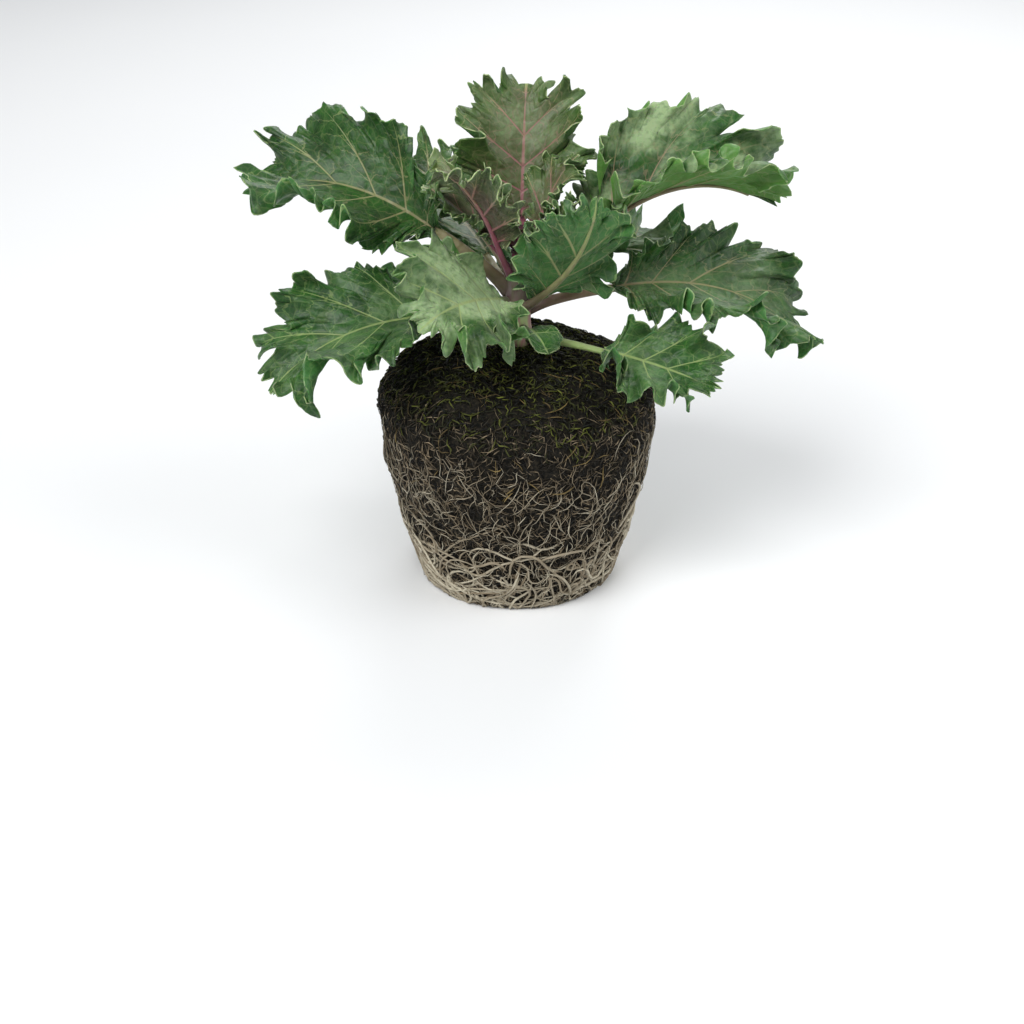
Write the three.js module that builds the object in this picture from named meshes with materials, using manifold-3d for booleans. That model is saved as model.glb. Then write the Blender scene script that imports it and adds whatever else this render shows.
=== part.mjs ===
// A young purple kale plant out of its pot: a leafy rosette on a short stem, standing on its root ball.
// Millimetres, +Z up. The origin is the centre of the root ball's flat underside, and -Y is the front.
import * as THREE from "three";
import { mergeVertices } from "three/addons/utils/BufferGeometryUtils.js";
import Module from "manifold-3d";

const wasm = await Module();
wasm.setup();

// Driving dimensions
const BALL_HEIGHT = 79; // underside to the rim of the root ball
const BALL_RIM_RADIUS = 51.5;
const BALL_FOOT_RADIUS = 34;
const BALL_MOUND = 14; // how far the soil round the stem stands above the rim
const BALL_LUMP = 0.9; // how far the soil swells and dips
const BALL_SEGMENTS = 36;

const STEM_RADIUS = 5;
const STEM_TIP_RADIUS = 3.2;
const STEM_FOOT = 57; // height of the stem's lower end, inside the soil
const STEM_TOP = 126;
const STEM_SEGMENTS = 14;
const GAP = 0.3; // clearance between pieces that touch on the real plant

const BLADE_THICKNESS = 0.9;
const BLADE_ROWS = [0, 0.42, 0.76, 1]; // shares of the way from the midrib to the margin
const LOBE_CORNERS = [0.3, 0.5, 0.7]; // corners of the margin, as shares of the way from lobe to lobe
const BASE_HALF_WIDTH = 1.5; // of the blade where it meets the petiole
const WIDEST = 0.55; // share of the blade's length where it is widest
const VEIN_REACH = 0.78; // share of the blade's length where the last side vein leaves the midrib
const MIDRIB_STEPS = 48;
const RIB_SIDES = 6;
const RIB_STATIONS = 6;
const RIB_REACH = 0.78; // share of the blade that the raised midrib runs along

const ROOT_RADIUS = 0.75;
const ROOT_COUNT = 24;
const ROOT_CLEARANCE = 0.55; // between the soil's smooth surface and a root
const ROOT_SIDES = 3;
const RING_HEIGHTS = [2.6, 9]; // roots that circle the foot of the ball

// Colours and finishes
const paint = (color, roughness) => new THREE.MeshStandardMaterial({ color, roughness, metalness: 0 });
const SOIL = paint(0x2e241c, 0.95);
const ROOT = paint(0xcfc6b2, 0.8);
const STEM = paint(0x7d6a72, 0.55);
const GREEN_LEAF = paint(0x557d4c, 0.6);
const PURPLE_LEAF = paint(0x6a5a55, 0.6);
const HEART = paint(0x4f2b44, 0.6);

const radians = THREE.MathUtils.degToRad;

// A repeatable number from 0 to 1 for a whole number and a seed
function scatter(index, seed) {
  const x = Math.sin(index * 12.9898 + seed * 78.233) * 43758.5453;
  return x - Math.floor(x);
}

const ease = (x) => THREE.MathUtils.smoothstep(x, 0, 1);

// Solids

// A closed geometry as a manifold-3d solid
function solidOf(geometry) {
  const bare = geometry.clone();
  bare.deleteAttribute("normal");
  bare.deleteAttribute("uv");
  const merged = mergeVertices(bare, 1e-4);
  return new wasm.Manifold(
    new wasm.Mesh({
      numProp: 3,
      vertProperties: merged.attributes.position.array,
      triVerts: new Uint32Array(merged.index.array),
    }),
  );
}

// The largest body of a solid, without the crumbs and closed pockets that a cut or a join leaves
const largestBody = (solid) =>
  solid.decompose().reduce((best, body) => (body.volume() > best.volume() ? body : best));

// Edges shorter than this, left where two surfaces cross, are closed up
const SHORTEST_EDGE = 0.05;

function geometryOf(solid) {
  const mesh = largestBody(solid.simplify(SHORTEST_EDGE)).getMesh();
  const geometry = new THREE.BufferGeometry();
  geometry.setAttribute("position", new THREE.BufferAttribute(mesh.vertProperties, 3));
  geometry.setIndex(new THREE.BufferAttribute(mesh.triVerts, 1));
  geometry.computeVertexNormals();
  return geometry;
}

function meshOf(name, solid, material) {
  const mesh = new THREE.Mesh(geometryOf(solid), material);
  mesh.name = name;
  return mesh;
}

// Root ball

// Profile of the root ball as a pot moulds it: radius at a height, from the foot to the rim
const ballProfile = new THREE.SplineCurve([
  new THREE.Vector2(BALL_FOOT_RADIUS, 0),
  new THREE.Vector2(BALL_FOOT_RADIUS + 3.5, 3),
  new THREE.Vector2(0.5 * (BALL_FOOT_RADIUS + BALL_RIM_RADIUS) + 0.5, 0.3 * BALL_HEIGHT),
  new THREE.Vector2(BALL_RIM_RADIUS - 1.5, 0.68 * BALL_HEIGHT),
  new THREE.Vector2(BALL_RIM_RADIUS, 0.93 * BALL_HEIGHT),
  new THREE.Vector2(BALL_RIM_RADIUS - 3, BALL_HEIGHT),
]);
const PROFILE_POINTS = 9;
const profilePoints = ballProfile.getPoints(PROFILE_POINTS);

function ballRadius(height) {
  const above = Math.max(1, profilePoints.findIndex((p) => p.y >= height));
  const [low, high] = [profilePoints[above - 1], profilePoints[above]];
  return THREE.MathUtils.mapLinear(height, low.y, high.y, low.x, high.x);
}

// How far the soil swells at an angle and a height: three crossed waves
function soilLump(angle, height) {
  const broad = Math.sin(3 * angle + 0.3 * height + 2);
  const middling = Math.sin(5 * angle + 0.09 * height);
  const narrow = Math.sin(9 * angle - 0.21 * height + 1);
  return (BALL_LUMP / 3) * (broad + middling + narrow);
}

// Height of the heaped soil at a share of the way out to the rim
const moundHeight = (share) => BALL_HEIGHT + BALL_MOUND * (1 - share ** 2) ** 0.8;

function buildRootBall() {
  const mound = [0.86, 0.6, 0.3, 0].map(
    (share) => new THREE.Vector2(share * BALL_RIM_RADIUS, moundHeight(share)),
  );
  const outline = [new THREE.Vector2(0, 0), ...profilePoints, ...mound];
  const lathe = new THREE.LatheGeometry(outline, BALL_SEGMENTS);
  lathe.rotateX(Math.PI / 2);
  const position = lathe.attributes.position;
  const point = new THREE.Vector3();
  for (let i = 0; i < position.count; i++) {
    point.fromBufferAttribute(position, i);
    const radius = Math.hypot(point.x, point.y);
    if (radius < 1e-3 || point.z < 1e-3) continue;
    const lump = soilLump(Math.atan2(point.y, point.x), point.z);
    const along = point.z < BALL_HEIGHT ? 1 + lump / radius : 1;
    const lift = point.z < BALL_HEIGHT ? 0 : lump;
    position.setXYZ(i, point.x * along, point.y * along, point.z + lift);
  }
  const stemHole = stemBody(GAP);
  return solidOf(lathe).subtract(stemHole);
}

// Roots: a net of strands that run down the ball and circle its foot, clear of the soil

function rootPoint(angle, height) {
  const soil = ballRadius(height) + Math.max(0, soilLump(angle, height));
  const radius = soil + ROOT_CLEARANCE + ROOT_RADIUS;
  return new THREE.Vector3(radius * Math.cos(angle), radius * Math.sin(angle), height);
}

function strand(points) {
  const section = new THREE.Shape();
  for (let k = 0; k < ROOT_SIDES; k++) {
    const turn = (2 * Math.PI * k) / ROOT_SIDES;
    section[k ? "lineTo" : "moveTo"](ROOT_RADIUS * Math.cos(turn), ROOT_RADIUS * Math.sin(turn));
  }
  const extrudePath = new THREE.CatmullRomCurve3(points);
  const settings = { steps: points.length, bevelEnabled: false, extrudePath };
  return solidOf(new THREE.ExtrudeGeometry(section, settings));
}

function buildRootNet() {
  const rings = RING_HEIGHTS.flatMap((height, ring) => {
    const halfPoints = 11;
    return [0, 1].map((half) => {
      const points = Array.from({ length: halfPoints + 1 }, (_, k) => {
        const angle = Math.PI * (half + (k - 0.2) / (halfPoints - 0.4)) + ring;
        return rootPoint(angle, height + 0.9 * Math.sin(3 * angle + ring));
      });
      return strand(points);
    });
  });
  const runners = Array.from({ length: ROOT_COUNT }, (_, k) => {
    const start = (2 * Math.PI * (k + 0.7 * scatter(k, 1))) / ROOT_COUNT;
    const top = 18 + 44 * scatter(k, 2) ** 1.4;
    const drift = 0.9 * (scatter(k, 3) - 0.5);
    const sway = 0.05 + 0.08 * scatter(k, 4);
    const foot = RING_HEIGHTS[0];
    const points = Array.from({ length: 6 }, (_, j) => {
      const share = j / 5;
      const angle = start + drift * share + sway * Math.sin(7 * share + 6 * scatter(k, 5));
      return rootPoint(angle, THREE.MathUtils.lerp(top, foot, share));
    });
    return strand(points);
  });
  return wasm.Manifold.union([...rings, ...runners]);
}

// Stem

// The stem, grown by a clearance all round for cutting its neighbours
function stemBody(clearance) {
  const side = [
    [STEM_RADIUS - 0.6, STEM_FOOT - clearance],
    [STEM_RADIUS, BALL_HEIGHT],
    [STEM_RADIUS, BALL_HEIGHT + 22],
    [STEM_RADIUS - 0.7, STEM_TOP - 14],
    [STEM_TIP_RADIUS, STEM_TOP - 3],
    [STEM_TIP_RADIUS - 1, STEM_TOP + clearance],
  ].map(([radius, height]) => new THREE.Vector2(radius + clearance, height));
  const outline = [new THREE.Vector2(0, side[0].y), ...side, new THREE.Vector2(0, side.at(-1).y)];
  return solidOf(new THREE.LatheGeometry(outline, STEM_SEGMENTS).rotateX(Math.PI / 2));
}

// Leaves

// A leaf's own values: where it points, from +X towards +Y, and the height at which it leaves the stem;
// the lengths of its petiole and blade and the blade's half width; its slope at the stem, at the blade's foot
// and at its tip; how the blade leans about its midrib at its foot, and how much more by its tip; and how far
// each half of the blade lifts at the midrib. Angles are in degrees.
const FOLD = 10;
function growth(azimuth, height, lengths, slopes, lean = [0, 0], fold = FOLD) {
  const [petiole, blade, halfWidth] = lengths;
  const [rise, level, droop] = slopes;
  const [roll, twist] = lean;
  return { azimuth, height, petiole, blade, halfWidth, rise, level, droop, roll, twist, fold };
}
const LEAVES = {
  lower_leaf_1: growth(329, 98, [36, 48, 25], [5, -1, -14], [-18, 0]),
  lower_leaf_2: growth(200, 101, [26, 76, 30], [24, 8, -50], [20, -6], 14),
  lower_leaf_3: growth(82, 100, [40, 62, 28], [10, 0, -50]),
  lower_leaf_4: growth(3, 107.5, [35, 85, 28], [18, 8, -58], [-42, 36], 14),
  lower_leaf_5: growth(122, 103, [38, 54, 27], [6, -6, -50]),
  seed_leaf: growth(292, 102, [12, 18, 8], [15, 5, -30]),
  middle_leaf_1: growth(230, 110, [9, 46, 31], [28, 20, -20], [34, 0], 6),
  middle_leaf_2: growth(43, 110.9, [29, 62, 26], [21, 9, -30]),
  middle_leaf_3: growth(168, 112, [38, 75, 33], [43, 33, -28], [66, -70], 22),
  middle_leaf_4: growth(316, 110.5, [8, 57, 24], [2, 38, 82], [26, 0]),
  middle_leaf_5: growth(6, 115, [30, 78, 34], [31, 44, -44], [-28, 26], 40),
  middle_leaf_6: growth(136, 117.5, [28, 50, 22], [46, 32, 0]),
  middle_leaf_7: growth(114, 108, [30, 58, 26], [27, 16, -18]),
  inner_leaf_1: growth(85, 122, [23, 55, 28], [14, 72, 60]),
  inner_leaf_2: growth(220, 119, [17, 45, 20], [54, 66, 34]),
  inner_leaf_3: growth(26, 120, [16, 34, 14], [60, 70, 44]),
  inner_leaf_4: growth(322, 116.5, [15, 31, 11.5], [54, 62, 46]),
  inner_leaf_5: growth(173, 121, [15, 33, 14], [52, 49, 28]),
};
const CUP = 20; // degrees more that it has turned up by its margin
const LOBES = 5; // on each side of a grown blade
const SMALL_BLADE = 45; // a blade shorter than this has one lobe fewer
const TINY_BLADE = 20; // and one shorter than this only two
const LOBE_DEPTH = 0.28; // share of the way in to the midrib
const FRILL = 0.26; // height of the margin's waves, as a share of the half width
const PETIOLE_SHARE = 0.085; // petiole's half width as a share of the blade's

// Stations along a leaf's midrib, in the leaf's own frame: it starts on the stem's axis and points along +X
function midribOf(leaf) {
  const length = leaf.petiole + leaf.blade;
  const foot = leaf.petiole / length;
  const stations = [];
  const point = new THREE.Vector3();
  for (let k = 0; k <= MIDRIB_STEPS; k++) {
    const share = k / MIDRIB_STEPS;
    const onBlade = Math.max(0, (share - foot) / (1 - foot));
    const slope = radians(
      leaf.rise + (leaf.level - leaf.rise) * ease(share / foot) + (leaf.droop - leaf.level) * onBlade ** 1.4,
    );
    const along = new THREE.Vector3(Math.cos(slope), 0, Math.sin(slope));
    if (k) point.addScaledVector(along.clone().add(stations[k - 1].along), length / MIDRIB_STEPS / 2);
    const roll = radians(leaf.roll + leaf.twist * onBlade);
    const right = new THREE.Vector3(0, -1, 0).applyAxisAngle(along, -roll);
    const up = new THREE.Vector3().crossVectors(right, along);
    stations.push({ point: point.clone(), along, right, up });
  }
  return (distance) => {
    const at = THREE.MathUtils.clamp(distance / length, 0, 1) * MIDRIB_STEPS;
    const k = Math.min(Math.floor(at), MIDRIB_STEPS - 1);
    const mix = (key) => stations[k][key].clone().lerp(stations[k + 1][key], at - k);
    return { point: mix("point"), right: mix("right"), up: mix("up") };
  };
}

const lobesOf = (leaf) => (leaf.blade < TINY_BLADE ? 2 : leaf.blade < SMALL_BLADE ? LOBES - 1 : LOBES);

// A point of the blade. side is 1 or -1; vein runs from the foot, 0, to the tip, 1; out runs from the
// midrib, 0, to the margin, 1. The margin is a broad oval, cut into lobes and raised into waves.
function bladePoint(leaf, midrib, seed, side, vein, out) {
  const { blade, halfWidth } = leaf;
  const lobes = lobesOf(leaf);
  const turn = Math.PI * (1 - vein);
  const widest = WIDEST * blade;
  const marginX =
    vein >= 0.5
      ? halfWidth * Math.sin(turn) ** 0.65
      : BASE_HALF_WIDTH + (halfWidth - BASE_HALF_WIDTH) * Math.sin(turn) ** 1.4;
  const marginY = vein >= 0.5 ? widest + (blade - widest) * Math.cos(turn) : widest * (1 + Math.cos(turn));
  const rootY = VEIN_REACH * blade * vein ** 1.6;
  const lobe = Math.abs(Math.cos(Math.PI * lobes * vein));
  const sideSeed = seed + (side > 0 ? 0.37 : 0);
  const fromFoot = Math.min(1, 4 * vein);
  const depth = LOBE_DEPTH * (0.35 + 0.95 * scatter(Math.floor(lobes * vein), sideSeed)) * fromFoot;
  const reach = out * (1 - depth * (1 - lobe ** 0.6));
  const x = reach * marginX;
  const veinBow = 0.1 * blade * out * (1 - out) * (1 - vein);
  const y = THREE.MathUtils.clamp(rootY + reach * (marginY - rootY) + veinBow, 0, blade);

  const phase = (k) => 2 * Math.PI * scatter(k, sideSeed + 5);
  const turns = Math.PI * lobes * vein;
  const wave = 0.62 * Math.sin(turns + phase(0)) + 0.5 * Math.sin(1.66 * turns + phase(1));
  const tipWave = 0.4 * Math.sin(2 * Math.PI * scatter(2, seed));
  const height = THREE.MathUtils.lerp(wave, tipWave, ease((vein - 0.8) / 0.2));
  const frill = FRILL * halfWidth * out ** 2.2 * fromFoot * height;

  const fold = radians(leaf.fold);
  const bend = radians(CUP) / halfWidth;
  const lean = fold + bend * x;
  const across = (Math.sin(lean) - Math.sin(fold)) / bend;
  const lift = (Math.cos(fold) - Math.cos(lean)) / bend;
  const { point, right, up } = midrib(leaf.petiole + y);
  return point
    .addScaledVector(right, side * (across - frill * Math.sin(lean)))
    .addScaledVector(up, lift + frill * Math.cos(lean));
}

// The blade as a closed shell: one grid of triangles, lifted to either side of the blade's middle surface
function bladeSolid(leaf, midrib, seed) {
  const lobes = lobesOf(leaf);
  const between = Array.from({ length: lobes }, (_, k) => LOBE_CORNERS.map((share) => (k + share) / lobes));
  const veins = [0, ...between.flat().slice(1), 1];
  const columns = veins.length - 1;
  const rows = BLADE_ROWS.length - 1;
  const points = [];
  const places = new Map();
  const place = (side, i, j) => {
    const key = `${j === 0 || i === columns ? 0 : side},${i},${j}`;
    if (!places.has(key)) {
      places.set(key, points.length);
      points.push(bladePoint(leaf, midrib, seed, side, veins[i], BLADE_ROWS[j]));
    }
    return places.get(key);
  };
  const triangles = [];
  for (const side of [1, -1])
    for (let i = 0; i < columns; i++)
      for (let j = 0; j < rows; j++) {
        const [a, b] = [place(side, i, j), place(side, i, j + 1)];
        const [c, d] = [place(side, i + 1, j + 1), place(side, i + 1, j)];
        triangles.push(...(side > 0 ? [a, b, c, a, c, d] : [a, c, b, a, d, c]));
      }
  const middle = new THREE.BufferGeometry().setFromPoints(points).setIndex(triangles);
  middle.computeVertexNormals();
  const normal = new THREE.Vector3();
  const faces = [0.5, -0.5].flatMap((half) =>
    points.map((p, k) => {
      normal.fromBufferAttribute(middle.attributes.normal, k);
      return p.clone().addScaledVector(normal, half * BLADE_THICKNESS);
    }),
  );
  const count = points.length;
  const shell = [...triangles];
  const edges = new Map();
  for (let t = 0; t < triangles.length; t += 3) {
    const [a, b, c] = triangles.slice(t, t + 3);
    shell.push(a + count, c + count, b + count);
    for (const [from, to] of [[a, b], [b, c], [c, a]]) edges.set(`${from},${to}`, [from, to]);
  }
  for (const [from, to] of edges.values())
    if (!edges.has(`${to},${from}`)) shell.push(to, from, from + count, to, from + count, to + count);
  return solidOf(new THREE.BufferGeometry().setFromPoints(faces).setIndex(shell));
}

// The petiole and the raised midrib: one tapering rod along the underside of the blade
function ribSolid(leaf, midrib) {
  const reach = leaf.petiole + RIB_REACH * leaf.blade;
  const thick = Math.max(1.1, PETIOLE_SHARE * leaf.halfWidth);
  const points = [];
  for (let k = 0; k <= RIB_STATIONS; k++) {
    const share = k / RIB_STATIONS;
    const { point, right, up } = midrib(share * reach);
    const radius = THREE.MathUtils.lerp(thick, 0.3 * thick, share ** 0.8);
    for (let side = 0; side < RIB_SIDES; side++) {
      const turn = (2 * Math.PI * side) / RIB_SIDES;
      points.push(
        point
          .clone()
          .addScaledVector(right, radius * Math.cos(turn))
          .addScaledVector(up, radius * 0.85 * (Math.sin(turn) - 0.87)),
      );
    }
  }
  const triangles = [];
  for (let k = 0; k < RIB_STATIONS; k++)
    for (let side = 0; side < RIB_SIDES; side++) {
      const next = (side + 1) % RIB_SIDES;
      const [a, b] = [k * RIB_SIDES + side, k * RIB_SIDES + next];
      triangles.push(a, a + RIB_SIDES, b, b, a + RIB_SIDES, b + RIB_SIDES);
    }
  const last = RIB_STATIONS * RIB_SIDES;
  for (let side = 1; side < RIB_SIDES - 1; side++)
    triangles.push(0, side, side + 1, last, last + side + 1, last + side);
  return solidOf(new THREE.BufferGeometry().setFromPoints(points).setIndex(triangles));
}

function leafSolid(leaf, seed) {
  const midrib = midribOf(leaf);
  return bladeSolid(leaf, midrib, seed).add(ribSolid(leaf, midrib));
}

function buildLeaf(name, leaf, seed) {
  const stem = stemBody(GAP).translate([0, 0, -leaf.height]);
  const material = name.startsWith("inner") ? PURPLE_LEAF : GREEN_LEAF;
  const mesh = meshOf(name, leafSolid(leaf, seed).subtract(stem), material);
  mesh.position.z = leaf.height;
  mesh.rotation.z = radians(leaf.azimuth);
  return mesh;
}

// Heart: the youngest leaves, still crinkled round the growing tip

const HEART_LEAVES = 4;
const HEART_CORE_RADIUS = 2.6;
const GOLDEN_ANGLE = 137.5;

function buildHeart() {
  const bud = new THREE.SphereGeometry(HEART_CORE_RADIUS, 8, 6);
  const core = solidOf(bud.scale(1, 1, 1.5).translate(0, 0, 4.4));
  const leaves = Array.from({ length: HEART_LEAVES }, (_, k) => {
    const young = growth(0, 0, [3, 14 - 1.3 * k, 5.2 - 0.5 * k], [70 + 2 * k, 76, 60]);
    return bladeSolid(young, midribOf(young), 30 + k)
      .rotate([0, 0, GOLDEN_ANGLE * k])
      .translate([0, 0, 1.5]);
  });
  return wasm.Manifold.union([core, ...leaves]);
}

// Assembly

const plant = new THREE.Group();
plant.add(meshOf("root_ball", buildRootBall(), SOIL));
plant.add(meshOf("root_net", buildRootNet(), ROOT));
plant.add(meshOf("stem", stemBody(0), STEM));
const heart = meshOf("heart", buildHeart(), HEART);
heart.position.z = STEM_TOP;
plant.add(heart);
Object.entries(LEAVES).forEach(([name, leaf], k) => plant.add(buildLeaf(name, leaf, 1.1 * (k + 1))));

export default plant;
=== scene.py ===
"""A young purple kale plant out of its pot: frilled leaves on a short stem in rooted soil."""
import itertools
import math
from collections import namedtuple

import bpy
import numpy as np
from bpy.props import FloatProperty, FloatVectorProperty, IntProperty, PointerProperty
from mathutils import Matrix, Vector


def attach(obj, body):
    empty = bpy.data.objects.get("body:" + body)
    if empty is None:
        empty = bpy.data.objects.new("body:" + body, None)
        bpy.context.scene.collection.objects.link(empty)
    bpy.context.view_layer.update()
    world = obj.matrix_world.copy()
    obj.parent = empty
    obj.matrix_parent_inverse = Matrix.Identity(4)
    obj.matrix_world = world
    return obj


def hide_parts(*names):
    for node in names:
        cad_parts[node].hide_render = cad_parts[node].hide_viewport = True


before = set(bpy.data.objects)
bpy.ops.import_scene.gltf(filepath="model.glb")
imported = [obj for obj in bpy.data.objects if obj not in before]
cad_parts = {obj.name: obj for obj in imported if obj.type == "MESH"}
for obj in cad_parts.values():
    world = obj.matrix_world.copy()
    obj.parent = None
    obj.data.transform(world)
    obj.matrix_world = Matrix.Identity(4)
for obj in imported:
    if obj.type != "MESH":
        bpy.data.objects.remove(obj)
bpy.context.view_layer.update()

bl_info = {
    "name": "Young kale plant",
    "version": (1, 0, 0),
    "blender": (4, 5, 0),
    "location": "3D View > Sidebar > Kale",
    "description": "Builds the leaves, stem, soil and roots of a young purple kale plant",
    "category": "Object",
}

MM = 0.001
BODY = "root"

# The ball of soil, in millimetres: radius and height up its side, then a low mound on top.
BALL_SIDE = ((34.0, 0.0), (37.5, 3.0), (43.25, 23.7), (50.0, 53.7), (51.5, 73.5), (48.5, 79.0))
MOUND_RADIUS = 48.5
MOUND_FOOT = 79.0
MOUND_HEIGHT = 14.0
MOUND_POWER = 0.8
UNDER_RADIUS = 33.0
UNDER_HEIGHT = 0.6
BALL_LUMP = 0.9
UNDER_RINGS = 22
SIDE_RINGS = 116
MOUND_RINGS = 62
BALL_COLUMNS = 420

# Crumbs and pits of the soil: size in millimetres and share of the crumbs' height.
CRUMBS = ((6.5, 0.9), (2.9, 0.75), (1.7, 0.5))
PIT = (4.1, 0.5)

# The stem, in millimetres: radius and height.
STEM_SIDE = ((4.4, 57.0), (5.0, 79.0), (5.0, 101.0), (4.3, 112.0), (3.2, 123.0), (2.2, 126.0))
STEM_TOP = 126.0
STEM_RINGS = 72
STEM_COLUMNS = 40

# Leaf form, as in the solids.
MIDRIB_STEPS = 48
BASE_HALF_WIDTH = 1.5
WIDEST = 0.55
VEIN_REACH = 0.78
LOBES = 5
SMALL_BLADE = 45.0
SMALL_LOBES = 4
TINY_BLADE = 20.0
TINY_LOBES = 2
CUP = math.radians(20)
PETIOLE_SHARE = 0.085
THINNEST_PETIOLE = 1.1
RIB_REACH = 0.86

# Leaf grid.
COLUMN_PITCH = 0.34
FEWEST_COLUMNS = 60
HALF_ROWS = 20
ROW_CROWDING = 1.25
MARGIN_SAMPLES = 2001
RIB_SIDES = 12
RIB_STATIONS = 60

# Leaf margin, in millimetres where it is a length. A margin shorter than the full one has a
# smaller pattern, and the tip is still.
FULL_MARGIN = 60.0
STILL_TIP = 7.0
SMOOTH_TIP = 2.5
SMALLEST_TOOTH = 0.35
TOOTH_ROUNDING = 1.4
TOOTH_DRIFT = 0.25
DRIFT_PITCHES = 2.7
BITE_PITCHES = 2.7
BITE_DEPTH = 1.9
BITE_HALF_WIDTH = 0.2
SAW_PITCHES = 0.42
SAW_DEPTH = 0.3
BAY_POWER = 3.6
TIP_NOTCH_WIDTH = 3.5
SLIDE_TIP = 6.0
FLATTEST_CUT = 0.3
DEEPEST_CUT = 0.45

# Ruffles, rolls and waves of a leaf: the pitch of each slow swell is in millimetres.
RUFFLE_DRIFT_PITCH = 37.0
RUFFLE_HEIGHT_PITCH = 31.0
RUFFLE_SWAY = -2.9
RUFFLE_REACH = 0.6
FINE_RUFFLE = 0.2
FINE_RUFFLE_TURNS = 2.6
ROLLED_FROM = 0.72
ROLL_PITCH = 23.0
SLOW_ROLL_PITCH = 38.0
SECOND_WAVE_TURNS = 1.66
PUCKER_WIDTH = 0.17
BRANCHES_OUT = 4.6
BRANCH_LEAN = 1.7

# Which draw each pattern on a leaf takes; teeth, saw teeth and bites take the next one too.
SIDE_SEED = 0.37
PHASE_SEED = 5
BAY_WIDTH_SEED = 3
DRAW_WAVE, DRAW_SECOND_WAVE, DRAW_TIP, DRAW_RUFFLE, DRAW_RUFFLE_DRIFT = 0, 1, 2, 3, 4
DRAW_TOOTH, DRAW_ROLL, DRAW_SLOW_ROLL, DRAW_FINE_RUFFLE = 6, 8, 9, 10
DRAW_BRANCH, DRAW_RUFFLE_HEIGHT, DRAW_SAW, DRAW_BITE = 11, 12, 13, 15

# Thickness of a blade and its petiole, in millimetres: how far in the margin is thin, the half
# width of a vein's ridge, the half widths of a leaf with full ridges and puckers, and how far from
# the stem a petiole is flared and dark, partly its own purple and partly painted shade.
THIN_MARGIN = 4.0
RIDGE_HALF_WIDTH = 0.75
FULL_RIDGE_LEAF = 20.0
FULL_PUCKER_LEAF = 24.0
FLARE_REACH = 7.0
PURPLE_AND_SHADE_REACH = 13.0

# Distances kept on a leaf's points are shares of these lengths, in millimetres.
VEIN_UNIT = 10.0
GAP_UNIT = 20.0

# Scales of the patterns in the materials, per metre.
NET_SCALE = 175.0
FINE_NET_SCALE = 480.0
NET_BEND_SCALE = 160.0
NET_BEND = 0.0022
BRANCH_SWAY_SCALE = 260.0
MARGIN_WEAR_SCALE = 230.0
BLOOM_SCALE = 46.0
RUBBED_SCALE = 620.0
MOTTLE_SCALE = 95.0
FLUSH_SCALE = 70.0
HEART_SCALE = 420.0
STREAK_SCALE = 420.0
SOIL_SCALE = 190.0
FLOOR_SCALE = 3.0

# The stage: the floor in millimetres; each light's name, share of the key light's power, size and
# place in metres; and the camera's image in pixels, with the rim's place right of and above its
# middle, and the rim's height in millimetres.
FLOOR_REACH = 4000.0
LIGHTS = (("key_light", 1.0, 0.9, (-0.55, -0.75, 1.15)),
          ("side_light", 0.35, 0.8, (0.95, -0.25, 0.75)),
          ("back_light", 0.4, 0.7, (0.2, 0.95, 0.9)))
LIGHT_AIM = (0.0, 0.0, 0.1)
HALF_IMAGE = 512.0
FOCAL = 1851.0
RIM_RIGHT = 6.0
RIM_ABOVE = 128.0
RIM_HEIGHT = 77.0

Leaf = namedtuple("Leaf", "azimuth height petiole blade half_width slopes roll twist fold")
Finish = namedtuple("Finish", "purple pink bloom ruffle pitch tooth notch")


def growth(azimuth, height, sizes, slopes, turn=(0.0, 0.0), fold=10.0):
    """One leaf: its bearing and height on the stem, petiole, blade and half width in millimetres,
    the slopes where it starts, at the blade's foot and at the tip, its roll and twist, and how far
    each half lifts, in degrees."""
    return Leaf(azimuth, height, *sizes, slopes, *turn, fold)


LEAVES = {
    "lower_leaf_1": growth(329, 98, (36, 48, 25), (5, -1, -14), (-18, 0)),
    "lower_leaf_2": growth(200, 101, (26, 76, 30), (24, 8, -50), (20, -6), 14),
    "lower_leaf_3": growth(82, 100, (40, 62, 28), (10, 0, -50)),
    "lower_leaf_4": growth(3, 107.5, (35, 85, 28), (18, 8, -58), (-42, 36), 14),
    "lower_leaf_5": growth(122, 103, (38, 54, 27), (6, -6, -50)),
    "seed_leaf": growth(292, 102, (12, 18, 8), (15, 5, -30)),
    "middle_leaf_1": growth(230, 110, (9, 46, 31), (28, 20, -20), (34, 0), 6),
    "middle_leaf_2": growth(43, 110.9, (29, 62, 26), (21, 9, -30)),
    "middle_leaf_3": growth(168, 112, (38, 75, 33), (43, 33, -28), (66, -70), 22),
    "middle_leaf_4": growth(316, 110.5, (8, 57, 24), (2, 38, 82), (26, 0)),
    "middle_leaf_5": growth(6, 115, (30, 78, 34), (31, 44, -44), (-28, 26), 40),
    "middle_leaf_6": growth(136, 117.5, (28, 50, 22), (46, 32, 0)),
    "middle_leaf_7": growth(114, 108, (30, 58, 26), (27, 16, -18)),
    "inner_leaf_1": growth(85, 122, (23, 55, 28), (14, 72, 60)),
    "inner_leaf_2": growth(220, 119, (17, 45, 20), (54, 66, 34)),
    "inner_leaf_3": growth(26, 120, (16, 34, 14), (60, 70, 44)),
    "inner_leaf_4": growth(322, 116.5, (15, 31, 11.5), (54, 62, 46)),
    "inner_leaf_5": growth(173, 121, (15, 33, 14), (52, 49, 28)),
}

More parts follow.
